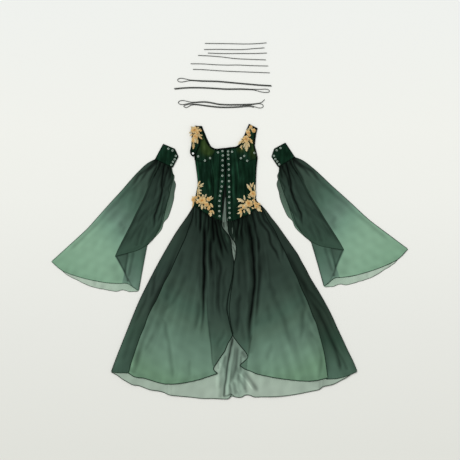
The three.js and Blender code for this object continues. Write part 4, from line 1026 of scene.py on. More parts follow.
# The back layers lie flat, a little inside the front ones: left, right and bottom edge, and level.
BACK_SIDES = {
    "overskirt_back": (
        listed("-195,303 -287,150 -372,0 -491,-225 -559,-400 -615,-540 -640,-590"),
        listed("170,303 287,150 380,0 506,-225 592,-400 657,-540 684,-588"),
        listed("-640,-590 -474,-622 -208,-640 20,-646 246,-640 531,-624 684,-588"), 0.4,
    ),
    "underskirt_back": (
        listed("-193,303 -277,150 -360,0 -476,-225 -544,-400 -592,-540 -609,-599"),
        listed("168,303 277,150 368,0 489,-225 577,-400 642,-540 679,-590"),
        listed("""
            -609,-599 -521,-656 -345,-709 -195,-729 -60,-735 22,-729 130,-719 275,-718 440,-694 559,-656
            679,-590
        """), 1.6,
    ),
}
OVERSKIRT_BACK, UNDERSKIRT_BACK = (
    Cloth(name + "_layer", {
        "top": [left[0], (-110, 282), (-12, 274), (85, 282), right[0]], "bottom": foot,
        "left": left, "right": right,
    }, (70, 70), height, 0.0, 30)
    for name, (left, right, foot, height) in BACK_SIDES.items()
)

OVERSKIRT_BACK.make(
    SIDES["left"], "overskirt_dark", side_tone, ["overskirt_back"], [], (1.35, 0.92), 0.88, (HEM_DARK, 0.5),
    "laid", ["bottom"],
)
UNDERSKIRT_BACK.make(
    UNDERSKIRT, "underskirt", under_tone, ["underskirt_back"], ["overskirt_back_layer"], (1.33, 1.02), 0.93,
    (HEM_PALE, 0.5), "laid", ["bottom"],
)
UNDER.make(
    UNDERSKIRT, "underskirt", under_tone, ["underskirt_front"], ["underskirt_back_layer"], (1.45, 1.04), 0.96,
    (HEM_PALE, 2.1),
)
for side, layer, width, area in (("left", SIDE_LEFT, 0.16, 0.085), ("right", SIDE_RIGHT, 0.18, 0.095)):
    layer.make(
        SIDES[side], "overskirt_dark", side_tone, [f"overskirt_side_{side}"], ["underskirt_front_layer"],
        (width, 1.0), area, (HEM_DARK, 1.7), "laid", ["bottom", side],
    )
for side, layer, tone, below in (
    ("left", LEFT, left_tone, "underskirt_front_layer"),
    ("right", RIGHT, right_tone, "overskirt_front_left_layer"),
):
    layer.make(
        OVERSKIRT, "overskirt", tone, [f"overskirt_front_{side}"], [below], (0.62, 0.98), 0.40,
        (HEM_DARK, 2.2),
    )

# Slivers of the underskirt that are caught between the gathers: each has its cloth, tone and route.
SLIVERS = [
    (RIGHT, 0.06, listed("13,184 14,172 14.5,160 15,147")),
    (RIGHT, 0.0, listed("24,131 24.5,120 24,108")),
    (UNDER, 0.0, listed("-40,216 -41,204 -40,190")),
]
SLIVER_SIDES = 6
SLIVER_HALF = (1.9, 1.9, 0.9)  # half of a sliver's width and height


def sliver(cloth, knots):
    """A thin strand on a cloth that narrows to both its ends."""
    line = along(knots, 12)
    centre = np.column_stack([line, cloth.height(line)[0] + 0.6])
    points, faces = tube(centre, 1, SLIVER_SIDES)
    thin = np.sin(np.linspace(0.12, 0.94, len(line)) * math.pi)
    middle, thin = np.repeat(centre, SLIVER_SIDES, axis=0), np.repeat(thin, SLIVER_SIDES)
    return middle + (points - middle) * SLIVER_HALF * thin[:, None], faces


sliver_parts = [sliver(cloth, knots) for cloth, _, knots in SLIVERS]
sliver_tones = [np.full(len(points), tone) for (points, _), (_, tone, _) in zip(sliver_parts, SLIVERS)]
sliver_points, sliver_faces = joined(sliver_parts)
build(
    "underskirt_slivers", sliver_points, sliver_faces, UNDERSKIRT, "underskirt",
    tone=np.concatenate(sliver_tones), shade=np.zeros(len(sliver_points)),
)


# ------------------------------------------------------------ bodice

VELVET_CLOTH = 2.0  # thickness
FRONT_LEVEL = 2.3  # underside of the front, on the back
# The front's middle and half its width, and how far it rises in its middle, at the waist and at the cups.
MIDDLE_X = -22
HALF_WIDTH = 178
BUST_Y, WAIST_Y = 560, 225
BODY_RISE, WAIST_RISE, CUP_RISE = 6, 1.9, 6
CUP_REACH = 58

SEAM_LEVELS = [505, 460, 415, 370, 330]
# Where each seam of the front starts at the bust, and its x at the levels above. All end at the waist.
SEAMS = {
    "side_left": ((-189, 550), (-182.5, -176.5, -174, -182, -190)),
    "panel_left": ((-134, 536), (-141, -135, -131, -134, -140)),
    "princess_left": ((-105, 549), (-96, -89, -85, -87, -92)),
    "placket_left": ((-54, 555), (-54, -55, -58, -66, -71)),
    "edge_left": ((-25, 555), (-24, -24.5, -28, -35, -40)),
    "edge_right": ((-22, 555), (-21.5, -20.5, -19.5, -19, -18.5)),
    "placket_right": ((5, 555), (6, 7, 8.5, 10, 12)),
    "princess_right": ((48, 549), (49, 52, 55, 57, 61)),
    "panel_right": ((92, 537), (98, 96, 97, 103, 111)),
    "side_right": ((150, 558), (144.5, 142.2, 140.3, 139.5, 144)),
}
SEAM_ENDS = dict(zip(SEAMS, WAIST_LEFT + WAIST_RIGHT))
WAIST = along(WAIST_LEFT + WAIST_RIGHT, 160)
# Where the seams that go on above the bust reach the neckline.
NECK = {
    "princess_left": (-74, 607), "placket_left": (-54, 610), "edge_left": (-25, 613),
    "edge_right": (-22, 613), "placket_right": (5, 617), "princess_right": (30, 619),
}
ARMHOLE_LEFT = listed("-191,550 -187,590 -179,625 -178,660 -183,700 -188,733")
NECKLINE_LEFT = listed("-74,607 -96,617 -113,636 -127,665 -139,698 -151,732")
NECKLINE_RIGHT = listed("30,619 46,628 64,652 81,684 92,715 104,743")
ARMHOLE_RIGHT = listed("150,558 142,596 135,625 137,655 142,690 149,721")
BUST_LEFT = listed("-191,550 -134,536 -105,549 -74,607")
BUST_RIGHT = listed("30,619 48,549 92,537 150,558")
# Where the cups stand highest.
CUPS = [(-125, 582), (82, 584)]

# Folds of the velvet, with painted shade in their troughs and painted sheen where the brushed pile would
# # catch the light, on swells and streak lines: a negative shade is lighter.
BODICE_CREASES = creases("""
    swell 6 1.2 -0.35 0.2 0.3: -92,535 -91,500 -90,470 -84,440 -85,400 -88,350
    swell 6 1.4 -0.9 0.3 0.4: -119,462 -116,440 -108,400 -104,360
    trough 8 1.4 0.66 0.2 0.3: -109,540 -107,510 -104,480 -99,440 -93,400 -92,350
    swell 5 1.2 -1.6 0.15 0.4: -175,545 -174,520 -171,480 -168,440 -166,420
    streak 9 0 -0.55 0.2 0.3: -158,540 -158,515 -156,490
    trough 15 1.2 0.46 0.2 0.3: -132,532 -136,490 -140,440 -138,390
    swell 4.5 1 -0.8 0.2 0.3: 37,548 40,520 46,482 51,440 53,405
    swell 5 0.8 -0.4 0.2 0.3: 17,590 17,520 17,450 18,380 22,300
    trough 6 1.2 0.45 0.2 0.3: 31,560 30,480 33,400 38,320
    trough 6 1.2 0.4 0.2 0.3: 50,530 57,480 60,440
    swell 9 1 -0.2 0.3 0.4: 76,520 76,460 78,400
    trough 8 1.2 0.25 0.3 0.3: 112,520 118,460 116,400
    swell 7 1 -0.2 0.3 0.3: -72,520 -72,460 -78,420
    trough 8 1.2 0.45 0.3 0.3: -62,455 -64,420 -68,380 -72,340
    swell 9 1.6 -0.45 0.3 0.4: -150,660 -140,625 -126,590
    swell 10 1.4 -0.35 0.3 0.3: -96,600 -108,585 -122,570
    swell 9 1.4 -0.35 0.3 0.4: 118,640 122,610 112,580
""")


def bodice_lift(points):
    """How far the front rises above the back: in its middle, at the cups and at the waist."""
    x, y = points[:, 0], points[:, 1]
    share = np.minimum(np.abs(x - MIDDLE_X) / HALF_WIDTH, 1)
    body = BODY_RISE * (1 - share**3) * smooth((y - WAIST_Y) / 105) * (1 - smooth((y - BUST_Y) / 80))
    cups = sum(
        CUP_RISE * np.maximum(0, 1 - ((x - cx) ** 2 + (y - cy) ** 2) / CUP_REACH**2) for cx, cy in CUPS
    )
    seam_allowance = WAIST_RISE * (1 - smooth((y - 262 - 41 * share) / (58 - 41 * share)))
    return body + cups * (1 - smooth((y - 590) / 60)) + seam_allowance


def bodice_top(points):
    points = np.asarray(points, float).reshape(-1, 2)
    return FRONT_LEVEL + bodice_lift(points) + VELVET_CLOTH


def level(height):
    """A surface that is flat at the given height."""
    return lambda points: np.full(len(points), height)


def length_of(line):
    return np.linalg.norm(np.diff(np.array(line, float), axis=0), axis=1).sum()


def even(points, count):
    """`count` points, evenly spaced on the straight lines between the given ones."""
    knots = np.array(points, float)
    run = np.concatenate([[0], np.cumsum(np.linalg.norm(np.diff(knots, axis=0), axis=1))])
    at = np.linspace(0, run[-1], count)
    return np.stack([np.interp(at, run, knots[:, axis]) for axis in range(knots.shape[1])], axis=1)


def seam(name, start=None):
    """A seam from the bust, or from `start` above it, down to the waist."""
    bust, across = SEAMS[name]
    line = along([bust, *zip(across, SEAM_LEVELS), SEAM_ENDS[name]], 90)
    return line if start is None else np.vstack([even([start, bust], 12)[:-1], line])


def waist(first, last):
    """The waist between two seams."""
    x = np.linspace(SEAM_ENDS[first][0], SEAM_ENDS[last][0], 40)
    line = np.column_stack([x, np.interp(x, WAIST[:, 0], WAIST[:, 1])])
    line[0], line[-1] = SEAM_ENDS[first], SEAM_ENDS[last]
    return line


def patch(top, bottom, left, right, step):
    """A grid of about the given step between four edges, and its outline."""
    columns = max(3, round(max(length_of(top), length_of(bottom)) / step) + 1)
    rows = max(3, round(max(length_of(left), length_of(right)) / step) + 1)
    top, bottom, left, right = even(top, columns), even(bottom, columns), even(left, rows), even(right, rows)
    return coons(top, bottom, left, right), np.vstack([top, right[1:], bottom[::-1][1:], left[::-1][1:-1]])


# The cups' pile turns olive round these places, partly its own colour where the nap lies another way and
# # partly painted sheen: x, y, reach across, reach down.
OLIVE_NAP_AND_SHEEN = [
    (-128, 612, 34, 30), (-112, 590, 30, 20), (-140, 645, 16, 30), (128, 588, 20, 30), (60, 604, 22, 16),
    (118, 640, 14, 16),
]


def olive_nap_and_sheen(points):
    x, y = points[:, 0], points[:, 1]
    parts = [np.exp(-(((x - cx) / wide) ** 2) - ((y - cy) / high) ** 2) for cx, cy, wide, high in OLIVE_NAP_AND_SHEEN]
    return np.clip(sum(parts), 0, 1)


def flat_area(grid):
    a, b, c, d = grid[:-1, :-1], grid[1:, :-1], grid[1:, 1:], grid[:-1, 1:]
    doubled = (c - a)[..., 0] * (d - b)[..., 1] - (c - a)[..., 1] * (d - b)[..., 0]
    return doubled.sum() / 2 / 1e6


def away_from(points, places):
    """Distance to the nearest of the places."""
    return np.linalg.norm(points[:, None] - np.array(places, float)[None], axis=2).min(axis=1)


def mirrors(move):
    """Whether `move` turns left into right, so that faces have to be turned round."""
    return move is not None and (move(np.eye(3)[:1]) < move(np.zeros((1, 3))))[0, 0]


HOLE = 3.6  # faces whose middle is nearer to an eyelet than this are left out


def cloth_piece(name, edges, height, replaced, held, rests_on, holes=(), material=VELVET, slot="velvet",
                step=2.6, groove=1.3, creases=(), move=None, wave=0.5, seed=1, seam_shade=0.5, tone=None):
    """A panel of velvet: rounded down at its seams, with a real hole below each eyelet."""
    grid, outline = patch(*edges, step)
    rows, columns = grid.shape[:2]
    points = grid.reshape(-1, 2)
    faces = grid_faces(rows, columns, flip=flat_area(grid) < 0)
    within = inside(points, even(outline, 240))
    rise, shade = relief(points, creases)
    calm = 1.0
    if len(holes):
        calm = smooth((away_from(points, holes) - 6.5) / 5)
        gaps = away_from(points[np.array(faces)].mean(axis=1), holes)
        faces = [face for face, gap in zip(faces, gaps) if gap > HOLE]
    z = height(points) + calm * (
        rise * smooth(within / 10) - groove * bell(within / 2.4) + wave * ripple(points, 55, seed)
    )
    shade = darker(shade, seam_shade * bell(within / 3.2))
    top = np.column_stack([points, z])
    if move:
        top = move(top)
    if mirrors(move):
        faces = [face[::-1] for face in faces]
    attributes = {"tone": tone(points)} if tone else {}
    piece = build(name, top, faces, material, slot, replaced, shade=np.clip(shade, -2.5, 0.95), **attributes)
    thicken(piece, VELVET_CLOTH)


def shoelace(loop):
    """Twice the area inside the loop, above 0 when it runs against the clock."""
    after = np.roll(loop, -1, axis=0)
    return (loop[:, 0] * after[:, 1] - after[:, 0] * loop[:, 1]).sum()


def flat_piece(name, outline, replaced, move=None):
    """A layer of velvet that lies flat on the table, under all the rest."""
    loop = np.array(outline, float)
    count = len(loop)
    points = np.vstack([np.column_stack([loop, np.full(count, z)]) for z in (0, VELVET_CLOTH)])
    if move:
        points = move(points)
    faces = [tuple(range(count)), tuple(range(count, 2 * count))[::-1]]
    for corner in range(count):
        after = (corner + 1) % count
        faces.append((corner, corner + count, after + count, after))
    if shoelace(points[:count]) > 0:
        faces = [face[::-1] for face in faces]
    piece = build(name, points, faces, VELVET, "velvet", replaced)
    piece.data.polygons.foreach_set("use_smooth", np.zeros(len(piece.data.polygons), bool))


COLUMN_LEFT = listed("""
    -39.5,596 -37.5,572 -38.5,546 -38.5,518 -38.5,492 -40,463 -41,432 -43.5,404.5 -48.5,380 -53,355.5
    -55.5,327.5 -56,299.5 -56,272 -55,245
""")
COLUMN_RIGHT = listed("""
    -8.5,594 -8.5,576 -7.5,554 -5.5,524 -5,496 -4.5,465 -4,434 -3.5,403 -3,375.5 -2.5,349 -3,317.5 -1.5,289
    -1,262.5 -0.5,236.5
""")
CUP_EYELETS_LEFT = listed("-170,567 -134,544.5 -106,558")
CUP_EYELETS_RIGHT = listed("60,557.5 78,569 94,543.5 133,586")
TOP_EYELETS = {"left": (-63.5, 588.5), "right": (12.5, 592.5)}
TAB_EYELET = (-198, 583)
TAB_BORE = 1.5  # the tab's eyelet has a broad flange, in a paler nickel that paints its highlight, and a narrow hole
TAB_TOP = 8.4

BACK_WAIST = listed("-195,303 -110,282 -12,274 85,282 170,303")
BACK_OUTLINE = BACK_WAIST + listed("""
    144,330 138.5,370 139,415 141,460 143,505 147,548 142,596 135,625 137,655 142,690 149,721 104,743 91,715
    79,685 45,624 -22,606 -96,612 -110,638 -123,665 -136,698 -151,732 -188,733 -183,700 -178,660 -179,625
    -187,590 -188,550 -181,505 -175,460 -172.5,415 -180,370 -188,330
""")
flat_piece("bodice_back_panel", BACK_OUTLINE, ["bodice_back"])


def neck_panel(first, last):
    """Edges of a panel between two seams that reaches up to the neckline."""
    return [NECK[first], NECK[last]], waist(first, last), seam(first, NECK[first]), seam(last, NECK[last])


def bust_panel(top, first, last):
    """Edges of a panel that ends below the bust."""
    return top, waist(first, last), seam(first), seam(last)


def strap(bust, left, right):
    """Edges of a cup and its strap, between two lines that run up to the shoulder."""
    return [left[-1], right[-1]], bust, along(left, 60)[::-1], along(right, 60)[::-1]


# Panels of the front, with their edges and eyelets.
FRONT_PANELS = {
    "centre_front_left_panel": (neck_panel("princess_left", "placket_left"), [TOP_EYELETS["left"]]),
    "centre_front_right_panel": (neck_panel("placket_right", "princess_right"), [TOP_EYELETS["right"]]),
    "side_front_left_panel": (bust_panel(BUST_LEFT[:3], "side_left", "princess_left"), []),
    "side_front_right_panel": (bust_panel(BUST_RIGHT[1:], "princess_right", "side_right"), []),
    "placket_left_strip": (neck_panel("placket_left", "edge_left"), COLUMN_LEFT),
    "placket_right_strip": (neck_panel("edge_right", "placket_right"), COLUMN_RIGHT),
    "cup_strap_left_panel": (strap(BUST_LEFT, ARMHOLE_LEFT, NECKLINE_LEFT), CUP_EYELETS_LEFT),
    "cup_strap_right_panel": (strap(BUST_RIGHT, NECKLINE_RIGHT, ARMHOLE_RIGHT), CUP_EYELETS_RIGHT),
}
FIRST_SEED = 11
STYLES = {
    "placket": {"step": 2.2, "wave": 0.3},
    "cup": {"material": CUP, "slot": "cup", "step": 2.4, "seam_shade": 0.15, "groove": 0.6, "tone": olive_nap_and_sheen},
}
for seed, (name, (edges, holes)) in enumerate(FRONT_PANELS.items(), FIRST_SEED):
    kind, solid = name.split("_")[0], name.rsplit("_", 1)[0]
    rests_on = "underskirt_front_layer" if kind == "placket" else "bodice_back"
    cloth_piece(
        name, edges, bodice_top, [solid], "stretched", [rests_on], holes, creases=BODICE_CREASES, seed=seed,
        **STYLES.get(kind, {}),
    )
cloth_piece(
    "shoulder_tab_flap",
    ([(-207, 722), (-163, 728)], along(listed("-213,594 -209,578 -199,569 -187,574 -177,598"), 40),
     along(listed("-207,722 -204,668 -208,622 -213,594"), 40),
     along(listed("-163,728 -162,668 -165,628 -177,598"), 40)),
    level(TAB_TOP), ["shoulder_tab"], "laid", ["cup_strap_left"], [TAB_EYELET], seed=19, step=2.0, wave=0.3,
)


def binding(name, lines, radius, material=BINDING, height=bodice_top, drop=0.8, move=None, inset=0.0):
    """A rounded edging along lines, `inset` to the right of each and `drop` below the cloth's top."""
    parts = []
    for line in lines:
        line = even(line, max(6, int(length_of(line) / 3)))
        heading = np.gradient(line, axis=0)
        heading /= np.linalg.norm(heading, axis=1)[:, None]
        line = line + inset * np.column_stack([heading[:, 1], -heading[:, 0]])
        parts.append(tube(np.column_stack([line, height(line) - drop]), radius, 8, 0.75))
    points, faces = joined(parts)
    build(name, move(points) if move else points, faces, material, "velvet")


neck_left = np.vstack([along(NECKLINE_LEFT, 60)[::-1], [NECK["placket_left"], NECK["edge_left"]]])
neck_right = np.vstack([[NECK["edge_right"], NECK["placket_right"]], along(NECKLINE_RIGHT, 60)])
binding("neckline_binding", [neck_left, neck_right], 5.0, inset=4.2)
binding("armhole_binding", [along(ARMHOLE_LEFT, 60)[::-1], along(ARMHOLE_RIGHT, 60)], 4.6, inset=-3.8)
strap_tops = [[ARMHOLE_LEFT[-1], NECKLINE_LEFT[-1]], [NECKLINE_RIGHT[-1], ARMHOLE_RIGHT[-1]]]
binding("strap_tops", strap_tops, 4.0, inset=4.0)
binding("side_edge_left", [seam("side_left")], 1.8, material=VELVET, inset=-1.8)
binding("side_edge_right", [seam("side_right")], 3.2, inset=3.2)
binding("placket_edges", [seam("edge_left", NECK["edge_left"]), seam("edge_right", NECK["edge_right"])], 1.4)
tab_line = along(listed("""
    -202,706 -202,668 -206,622 -212,594 -208,578 -199,570 -188,575 -177,598 -165,628 -162,668 -163,706
"""), 90)
binding("tab_binding", [tab_line], 2.8, height=level(TAB_TOP))

# A pleated panel of underskirt between the plackets: pale in a strip and darker round it and above it, with
# # painted shade in the hollows of its pleats.
INNER_TOP, INNER_FOOT = 412, 212
INNER_PLEAT = 11
STRIP_TOP = 345
inner = patch(
    [(-52, INNER_TOP), (12, INNER_TOP)], [(-58, INNER_FOOT), (12, INNER_FOOT)],
    [(-52, INNER_TOP), (-58, INNER_FOOT)], [(12, INNER_TOP), (12, INNER_FOOT)], 1.6,
)[0]
inner_points = inner.reshape(-1, 2)
inner_x, inner_y = inner_points.T
pleat = 0.5 + 0.5 * np.cos((inner_x + 26 + 0.02 * (inner_y - 300)) * 2 * math.pi / INNER_PLEAT)
inner_z = 3.0 + 3.4 * smooth((350 - np.abs(inner_y - 290)) / 350) * pleat
fallen = np.clip(STRIP_TOP - inner_y, 0, 200)
gap = np.abs(inner_x + 23 + 0.02 * fallen)
strip = smooth((STRIP_TOP + 5 - inner_y) / 8) * smooth((4 + 0.1 * fallen - gap) / 2.5)
inner_piece = build(
    "inner_strip", np.column_stack([inner_points, inner_z]), grid_faces(*inner.shape[:2]), UNDERSKIRT,
    "underskirt", ["inner_panel"], tone=0.16 * strip, shade=1 - (0.18 + 0.82 * strip) * (0.55 + 0.45 * pleat),
)


# ------------------------------------------------------------ eyelets

# An eyelet's section: distance from its axis and height. It starts at the bore, and its rim is the widest.
RING_PROFILE = [
    (2.6, -2.0), (2.6, 0.7), (2.9, 1.1), (3.6, 1.35), (4.4, 1.3), (5.1, 0.95), (5.6, 0.35), (5.6, 0.05),
    (3.3, 0.0), (3.3, -2.0),
]
RING_BORE, RING_RIM = 2.6, 5.6
RING_SIDES = 20
EYELET_PROUD = 0.3
EYELET_SEAT = 3  # how far from its middle the cloth's slope is measured


def ring(x, y, height, bore):
    """An eyelet that sits square on the cloth at the place given."""
    narrow = (RING_RIM - bore) / (RING_RIM - RING_BORE)
    seat = EYELET_SEAT
    around = np.array([(x, y), (x + seat, y), (x - seat, y), (x, y + seat), (x, y - seat)], float)
    z, right, left, up, down = height(around)
    z += EYELET_PROUD
    normal = Vector(((left - right) / (2 * seat), (down - up) / (2 * seat), 1)).normalized()
    turn = Vector((0, 0, 1)).rotation_difference(normal).to_matrix()
    section = [(RING_RIM - (RING_RIM - radius) * narrow, rise) for radius, rise in RING_PROFILE]
    points = np.array([
        (radius * math.cos(a), radius * math.sin(a), rise)
        for a in np.arange(RING_SIDES) / RING_SIDES * 2 * math.pi for radius, rise in section
    ]) @ np.array(turn).T + (x, y, z)
    count = len(section)
    faces = []
    for side in range(RING_SIDES):
        here, there = side * count, (side + 1) % RING_SIDES * count
        for step in range(count):
            following = (step + 1) % count
            faces.append((here + step, here + following, there + following, there + step))
    return points, faces


def rings(name, places, height, replaced=(), move=None, material=NICKEL, bore=RING_BORE):
    points, faces = joined([ring(x, y, height, bore) for x, y in places])
    if mirrors(move):
        faces = [face[::-1] for face in faces]
    build(name, move(points) if move else points, faces, material, "eyelet", replaced)


rings("placket_left_grommets", COLUMN_LEFT, bodice_top)
rings("placket_right_grommets", COLUMN_RIGHT, bodice_top)
for side, at in TOP_EYELETS.items():
    rings(f"ring_eyelet_top_{side}", [at], bodice_top, [f"eyelet_top_{side}"])
for side, places in (("left", CUP_EYELETS_LEFT), ("right", CUP_EYELETS_RIGHT)):
    for number, at in enumerate(places, 1):
        name = f"eyelet_cup_{side}_{number}"
        rings("ring_" + name, [at], bodice_top, [name])
rings("ring_eyelet_tab", [TAB_EYELET], level(TAB_TOP), ["eyelet_tab"], material=NICKEL_LIT, bore=TAB_BORE)


# ------------------------------------------------------------ sleeves

# The right sleeve is the left one in a mirror, turned round this corner of its band.
SLEEVE_CORNER = {"left": (-278.0, 567.0), "right": (225.5, 566.0)}
SLEEVE_TURN = math.radians(5.55)


def to_side(side):
    """What moves points of the left sleeve to the given side."""
    if side == "left":
        return None

    def move(points):
        moved = np.array(points, float)
        x, y = ((moved[:, :2] - SLEEVE_CORNER["left"]) * (-1, 1)).T
        cos, sin = math.cos(SLEEVE_TURN), math.sin(SLEEVE_TURN)
        moved[:, 0] = x * cos - y * sin + SLEEVE_CORNER["right"][0]
        moved[:, 1] = x * sin + y * cos + SLEEVE_CORNER["right"][1]
        return moved
    return move


BAND_OUTLINE = listed("-359,634 -403,552 -309,508 -278,567 -297,608")
BAND_EYELETS = listed("-331,609 -309,599 -291,570 -297,552 -306,538 -315,522")
BAND_TOP = FRONT_LEVEL + VELVET_CLOTH
SLEEVE_OUTER = listed("""
    -403,552 -445,529 -498,480 -543,430 -586,380 -632,330 -677,280 -721,230 -766,180 -819,130 -874,80
    -920,38 -962,0
""")
UNDER_INNER = listed("""
    -314,510 -310,482 -298,459 -302,445 -292,418 -300,370 -302,341 -319,278 -336,235 -357,211 -367,177
    -406,129 -434,101 -446,88 -450,70 -470,-35 -492,-160
""")
UNDER_HEM = listed("""
    -962,0 -911,-44 -876,-73 -823,-100 -781,-121 -736,-138 -672,-151 -609,-161 -584,-153 -560,-156 -546,-162
    -492,-160
""")
MAIN_INNER = listed("""
    -314,510 -308,450 -322,380 -345,290 -372,190 -434,101 -446,88 -450,70 -470,-35 -492,-158
""")
MAIN_HEM = listed("""
    -962,0 -906,-48 -851,-71 -785,-91 -729,-103 -665,-114 -595,-118 -553,-118 -522,-138 -492,-158
""")
PETAL_OUTER = listed("""
    -385,543 -395,496 -421,450 -442,398 -461,350 -485,300 -508,255 -531,206 -554,161 -578,114 -599,72
    -618,28
""")
PETAL_INNER = listed("""
    -314,510 -312,474 -311,440 -321,416 -331,392 -326,366 -331,344 -338,320 -347,296 -352,272 -363,248
    -367,224 -374,200 -384,176 -398,152 -410,129
""")
PETAL_HEM = listed("-618,28 -582,38 -548,47 -510,57 -478,71 -449,90 -428,108 -410,129")

SLEEVE_BELOW = Cloth("sleeve_under", {
    "top": [(-403, 552), (-314, 510)], "left": SLEEVE_OUTER, "right": UNDER_INNER, "bottom": UNDER_HEM,
}, (90, 120), 0.2, 0.8, 26, creases("""
    trough 6 1 0.22 0.1 0.3: -306,480 -305,440 -304,400 -310,370 -314,330
    trough 5 1 0.2 0.1 0.3: -318,420 -322,380 -326,340 -333,300
    trough 6 1 0.18 0.3 0.3: -318,330 -336,290 -346,255
    trough 8 1 0.14 0.3 0.1: -725,-70 -728,-100 -730,-136
    trough 8 1 0.14 0.3 0.1: -845,-40 -848,-60 -850,-88
"""), seed=21, frill=2.6, folds=0.05)
SLEEVE_MAIN = Cloth("sleeve_main", {
    "top": [(-403, 552), (-314, 510)], "left": SLEEVE_OUTER, "right": MAIN_INNER, "bottom": MAIN_HEM,
}, (140, 150), 1.5, 2.8, 26, creases("""
    trough 12 3.5 0.22 0.1 0.2: -520,418 -536,392 -558,368 -585,344 -606,320 -630,296 -655,272 -676,248
        -698,224 -722,198 -748,174 -774,150 -796,126 -822,100 -850,72 -890,36
    trough 9 4 0.56 0.03 0.3: -396,560 -404,540 -428,512 -460,487 -493,464 -506,440 -520,416 -540,392
    trough 8 4 0.56 0.03 0.4: -390,550 -403,528 -424,506 -444,488 -460,464 -474,440 -486,416
    trough 7 3.5 0.62 0.03 0.3: -388,545 -394,520 -404,490 -418,462 -428,440 -438,416 -446,392
    ridge 9 4 0.1 0.05 0.3: -420,530 -480,450 -550,370 -620,290
    trough 12 2.5 0.1 0.3 0.3: -487,416 -504,390 -512,350 -527,318 -535,290 -552,262
    trough 12 2.5 0.12 0.3 0.3: -464,416 -470,368 -484,335 -500,296 -514,268
    trough 12 2.4 0.14 0.3 0.3: -574,224 -586,200 -572,176 -579,152 -590,128
    trough 6 1.6 0.3 0.05 0.2: -547,50 -552,8 -558,-16 -562,-45 -562,-75
    streak 6 0 -0.1 0.1 0.3: -540,30 -546,-10 -551,-50 -556,-85
    trough 7 1.6 0.26 0.1 0.1: -519,56 -520,32 -525,8 -531,-16 -536,-40 -541,-64 -550,-88
    streak 9 0 0.14 0.2 0.3: -462,60 -468,20 -470,-20 -480,-60
    lip 4 1.6 0.45 0.05 0.05: -494,-158 -510,-148 -525,-136 -541,-112 -552,-88
    streak 5 0 0.62 0.05 0.05: -549,-112 -553,-92 -560,-74 -566,-59 -577,-38 -588,-18 -598,2 -609,21 -616,31
    streak 5 0 0.45 0.05 0.05: -616,30 -600,31 -584,35 -566,41 -549,46
    streak 28 0 0.26 0.1 0.1: -528,66 -534,20 -538,-30 -545,-80 -550,-118
    streak 30 0 0.16 0.3 0.2: -642,10 -624,-40 -604,-90 -600,-118
    streak 24 0 0.1 0.2 0.2: -440,440 -470,380 -510,320 -550,240 -590,150 -620,90
    streak 30 0 0.1 0.1 0.3: -500,440 -550,370 -600,310 -660,245 -710,195
    trough 24 3 0.05 0.3 0.4: -429,365 -515,252 -600,138 -657,58
    trough 24 3 0.04 0.3 0.4: -520,380 -600,270 -690,170 -770,80
    ridge 20 4 0.04 0.3 0.4: -500,330 -590,230 -680,120 -740,30
    lip 5 1.4 0.3 0.1 0.1: -446,88 -458,30 -470,-35 -492,-158
"""), over=[(SLEEVE_BELOW, 0.6)], gather=(9, 60, 2.6, 0.5), seed=22, frill=2.2, gather_root_shade=0.4)
SLEEVE_PETAL = Cloth("sleeve_petal", {
    "top": [(-385, 543), (-314, 510)], "left": PETAL_OUTER, "right": PETAL_INNER, "bottom": PETAL_HEM,
}, (90, 170), 2.8, 3.2, 22, creases("""
    trough 7.5 5 0.86 0.02 0.25: -352,530 -358,500 -361,470 -365,440 -368,416 -365,385 -372,350 -380,320
        -389,296 -397,270 -406,248 -407,200 -417,155
    trough 7 4 0.74 0.02 0.3: -378,535 -380,512 -394,490 -406,465 -412,440
    trough 7 3.5 0.32 0.1 0.3: -368,520 -375,479 -392,420 -402,368 -412,340 -420,312 -430,290
    trough 7 4 0.72 0.03 0.2: -330,515 -336,490 -346,464 -352,440 -356,410 -352,385
    trough 6 3.5 0.6 0.03 0.4: -318,510 -320,480 -324,455 -328,430
    streak 16 0 -0.14 0.2 0.1: -322,420 -330,380 -336,330 -352,280 -366,240 -384,190 -402,150
    trough 9 3.5 0.26 0.2 0.1: -460,220 -466,198 -477,176 -487,152 -494,128 -499,104 -508,78
    trough 8 3 0.2 0.2 0.1: -450,200 -450,176 -455,150 -461,128 -470,104 -478,84
    trough 8 3 0.22 0.2 0.3: -354,360 -350,330 -362,296 -364,268 -380,236 -390,200
    ridge 8 6 0.1 0.1 0.3: -352,480 -356,400 -362,342 -384,234 -400,170
    ridge 8 5 0.1 0.2 0.3: -388,440 -408,350 -432,250 -446,170
    ridge 9 5 0.08 0.3 0.3: -440,330 -490,230 -530,140 -560,80
    lip 6 1.6 0.46 0.25 0.05: -615,32 -595,72 -574,114 -550,161 -527,206 -504,255 -481,300 -457,350 -438,398
        -417,450 -392,496
    lip 4 1.2 0.3 0.05 0.05: -309,474 -310,440 -321,416 -331,392 -326,366 -331,344 -347,296 -363,248
        -374,200 -398,152
"""), over=[(SLEEVE_MAIN, 0.8)], gather=(8, 90, 3.4, 0.5), seed=23, frill=1.6, folds=0.10, gather_root_shade=0.3)

SLEEVE_START = (-356, 530)
SLEEVE_RUN = np.array([-0.712, -0.702])
SLEEVE_LENGTH = 785
# Where the sleeve's cloth lies double below the petal, and where its corner is folded over.
DOUBLE = np.array(listed("""
    -618,28 -548,60 -478,90 -406,140 -447,88 -470,-35 -492,-165 -526,-138 -556,-122 -583,-117 -577,-95
    -569,-62 -590,-20
"""))
CORNER_FOLD = np.array(listed("-618,34 -591,-16 -563,-66 -558,-30 -549,52"))


def run_tone(points):
    return (points - SLEEVE_START) @ SLEEVE_RUN / SLEEVE_LENGTH


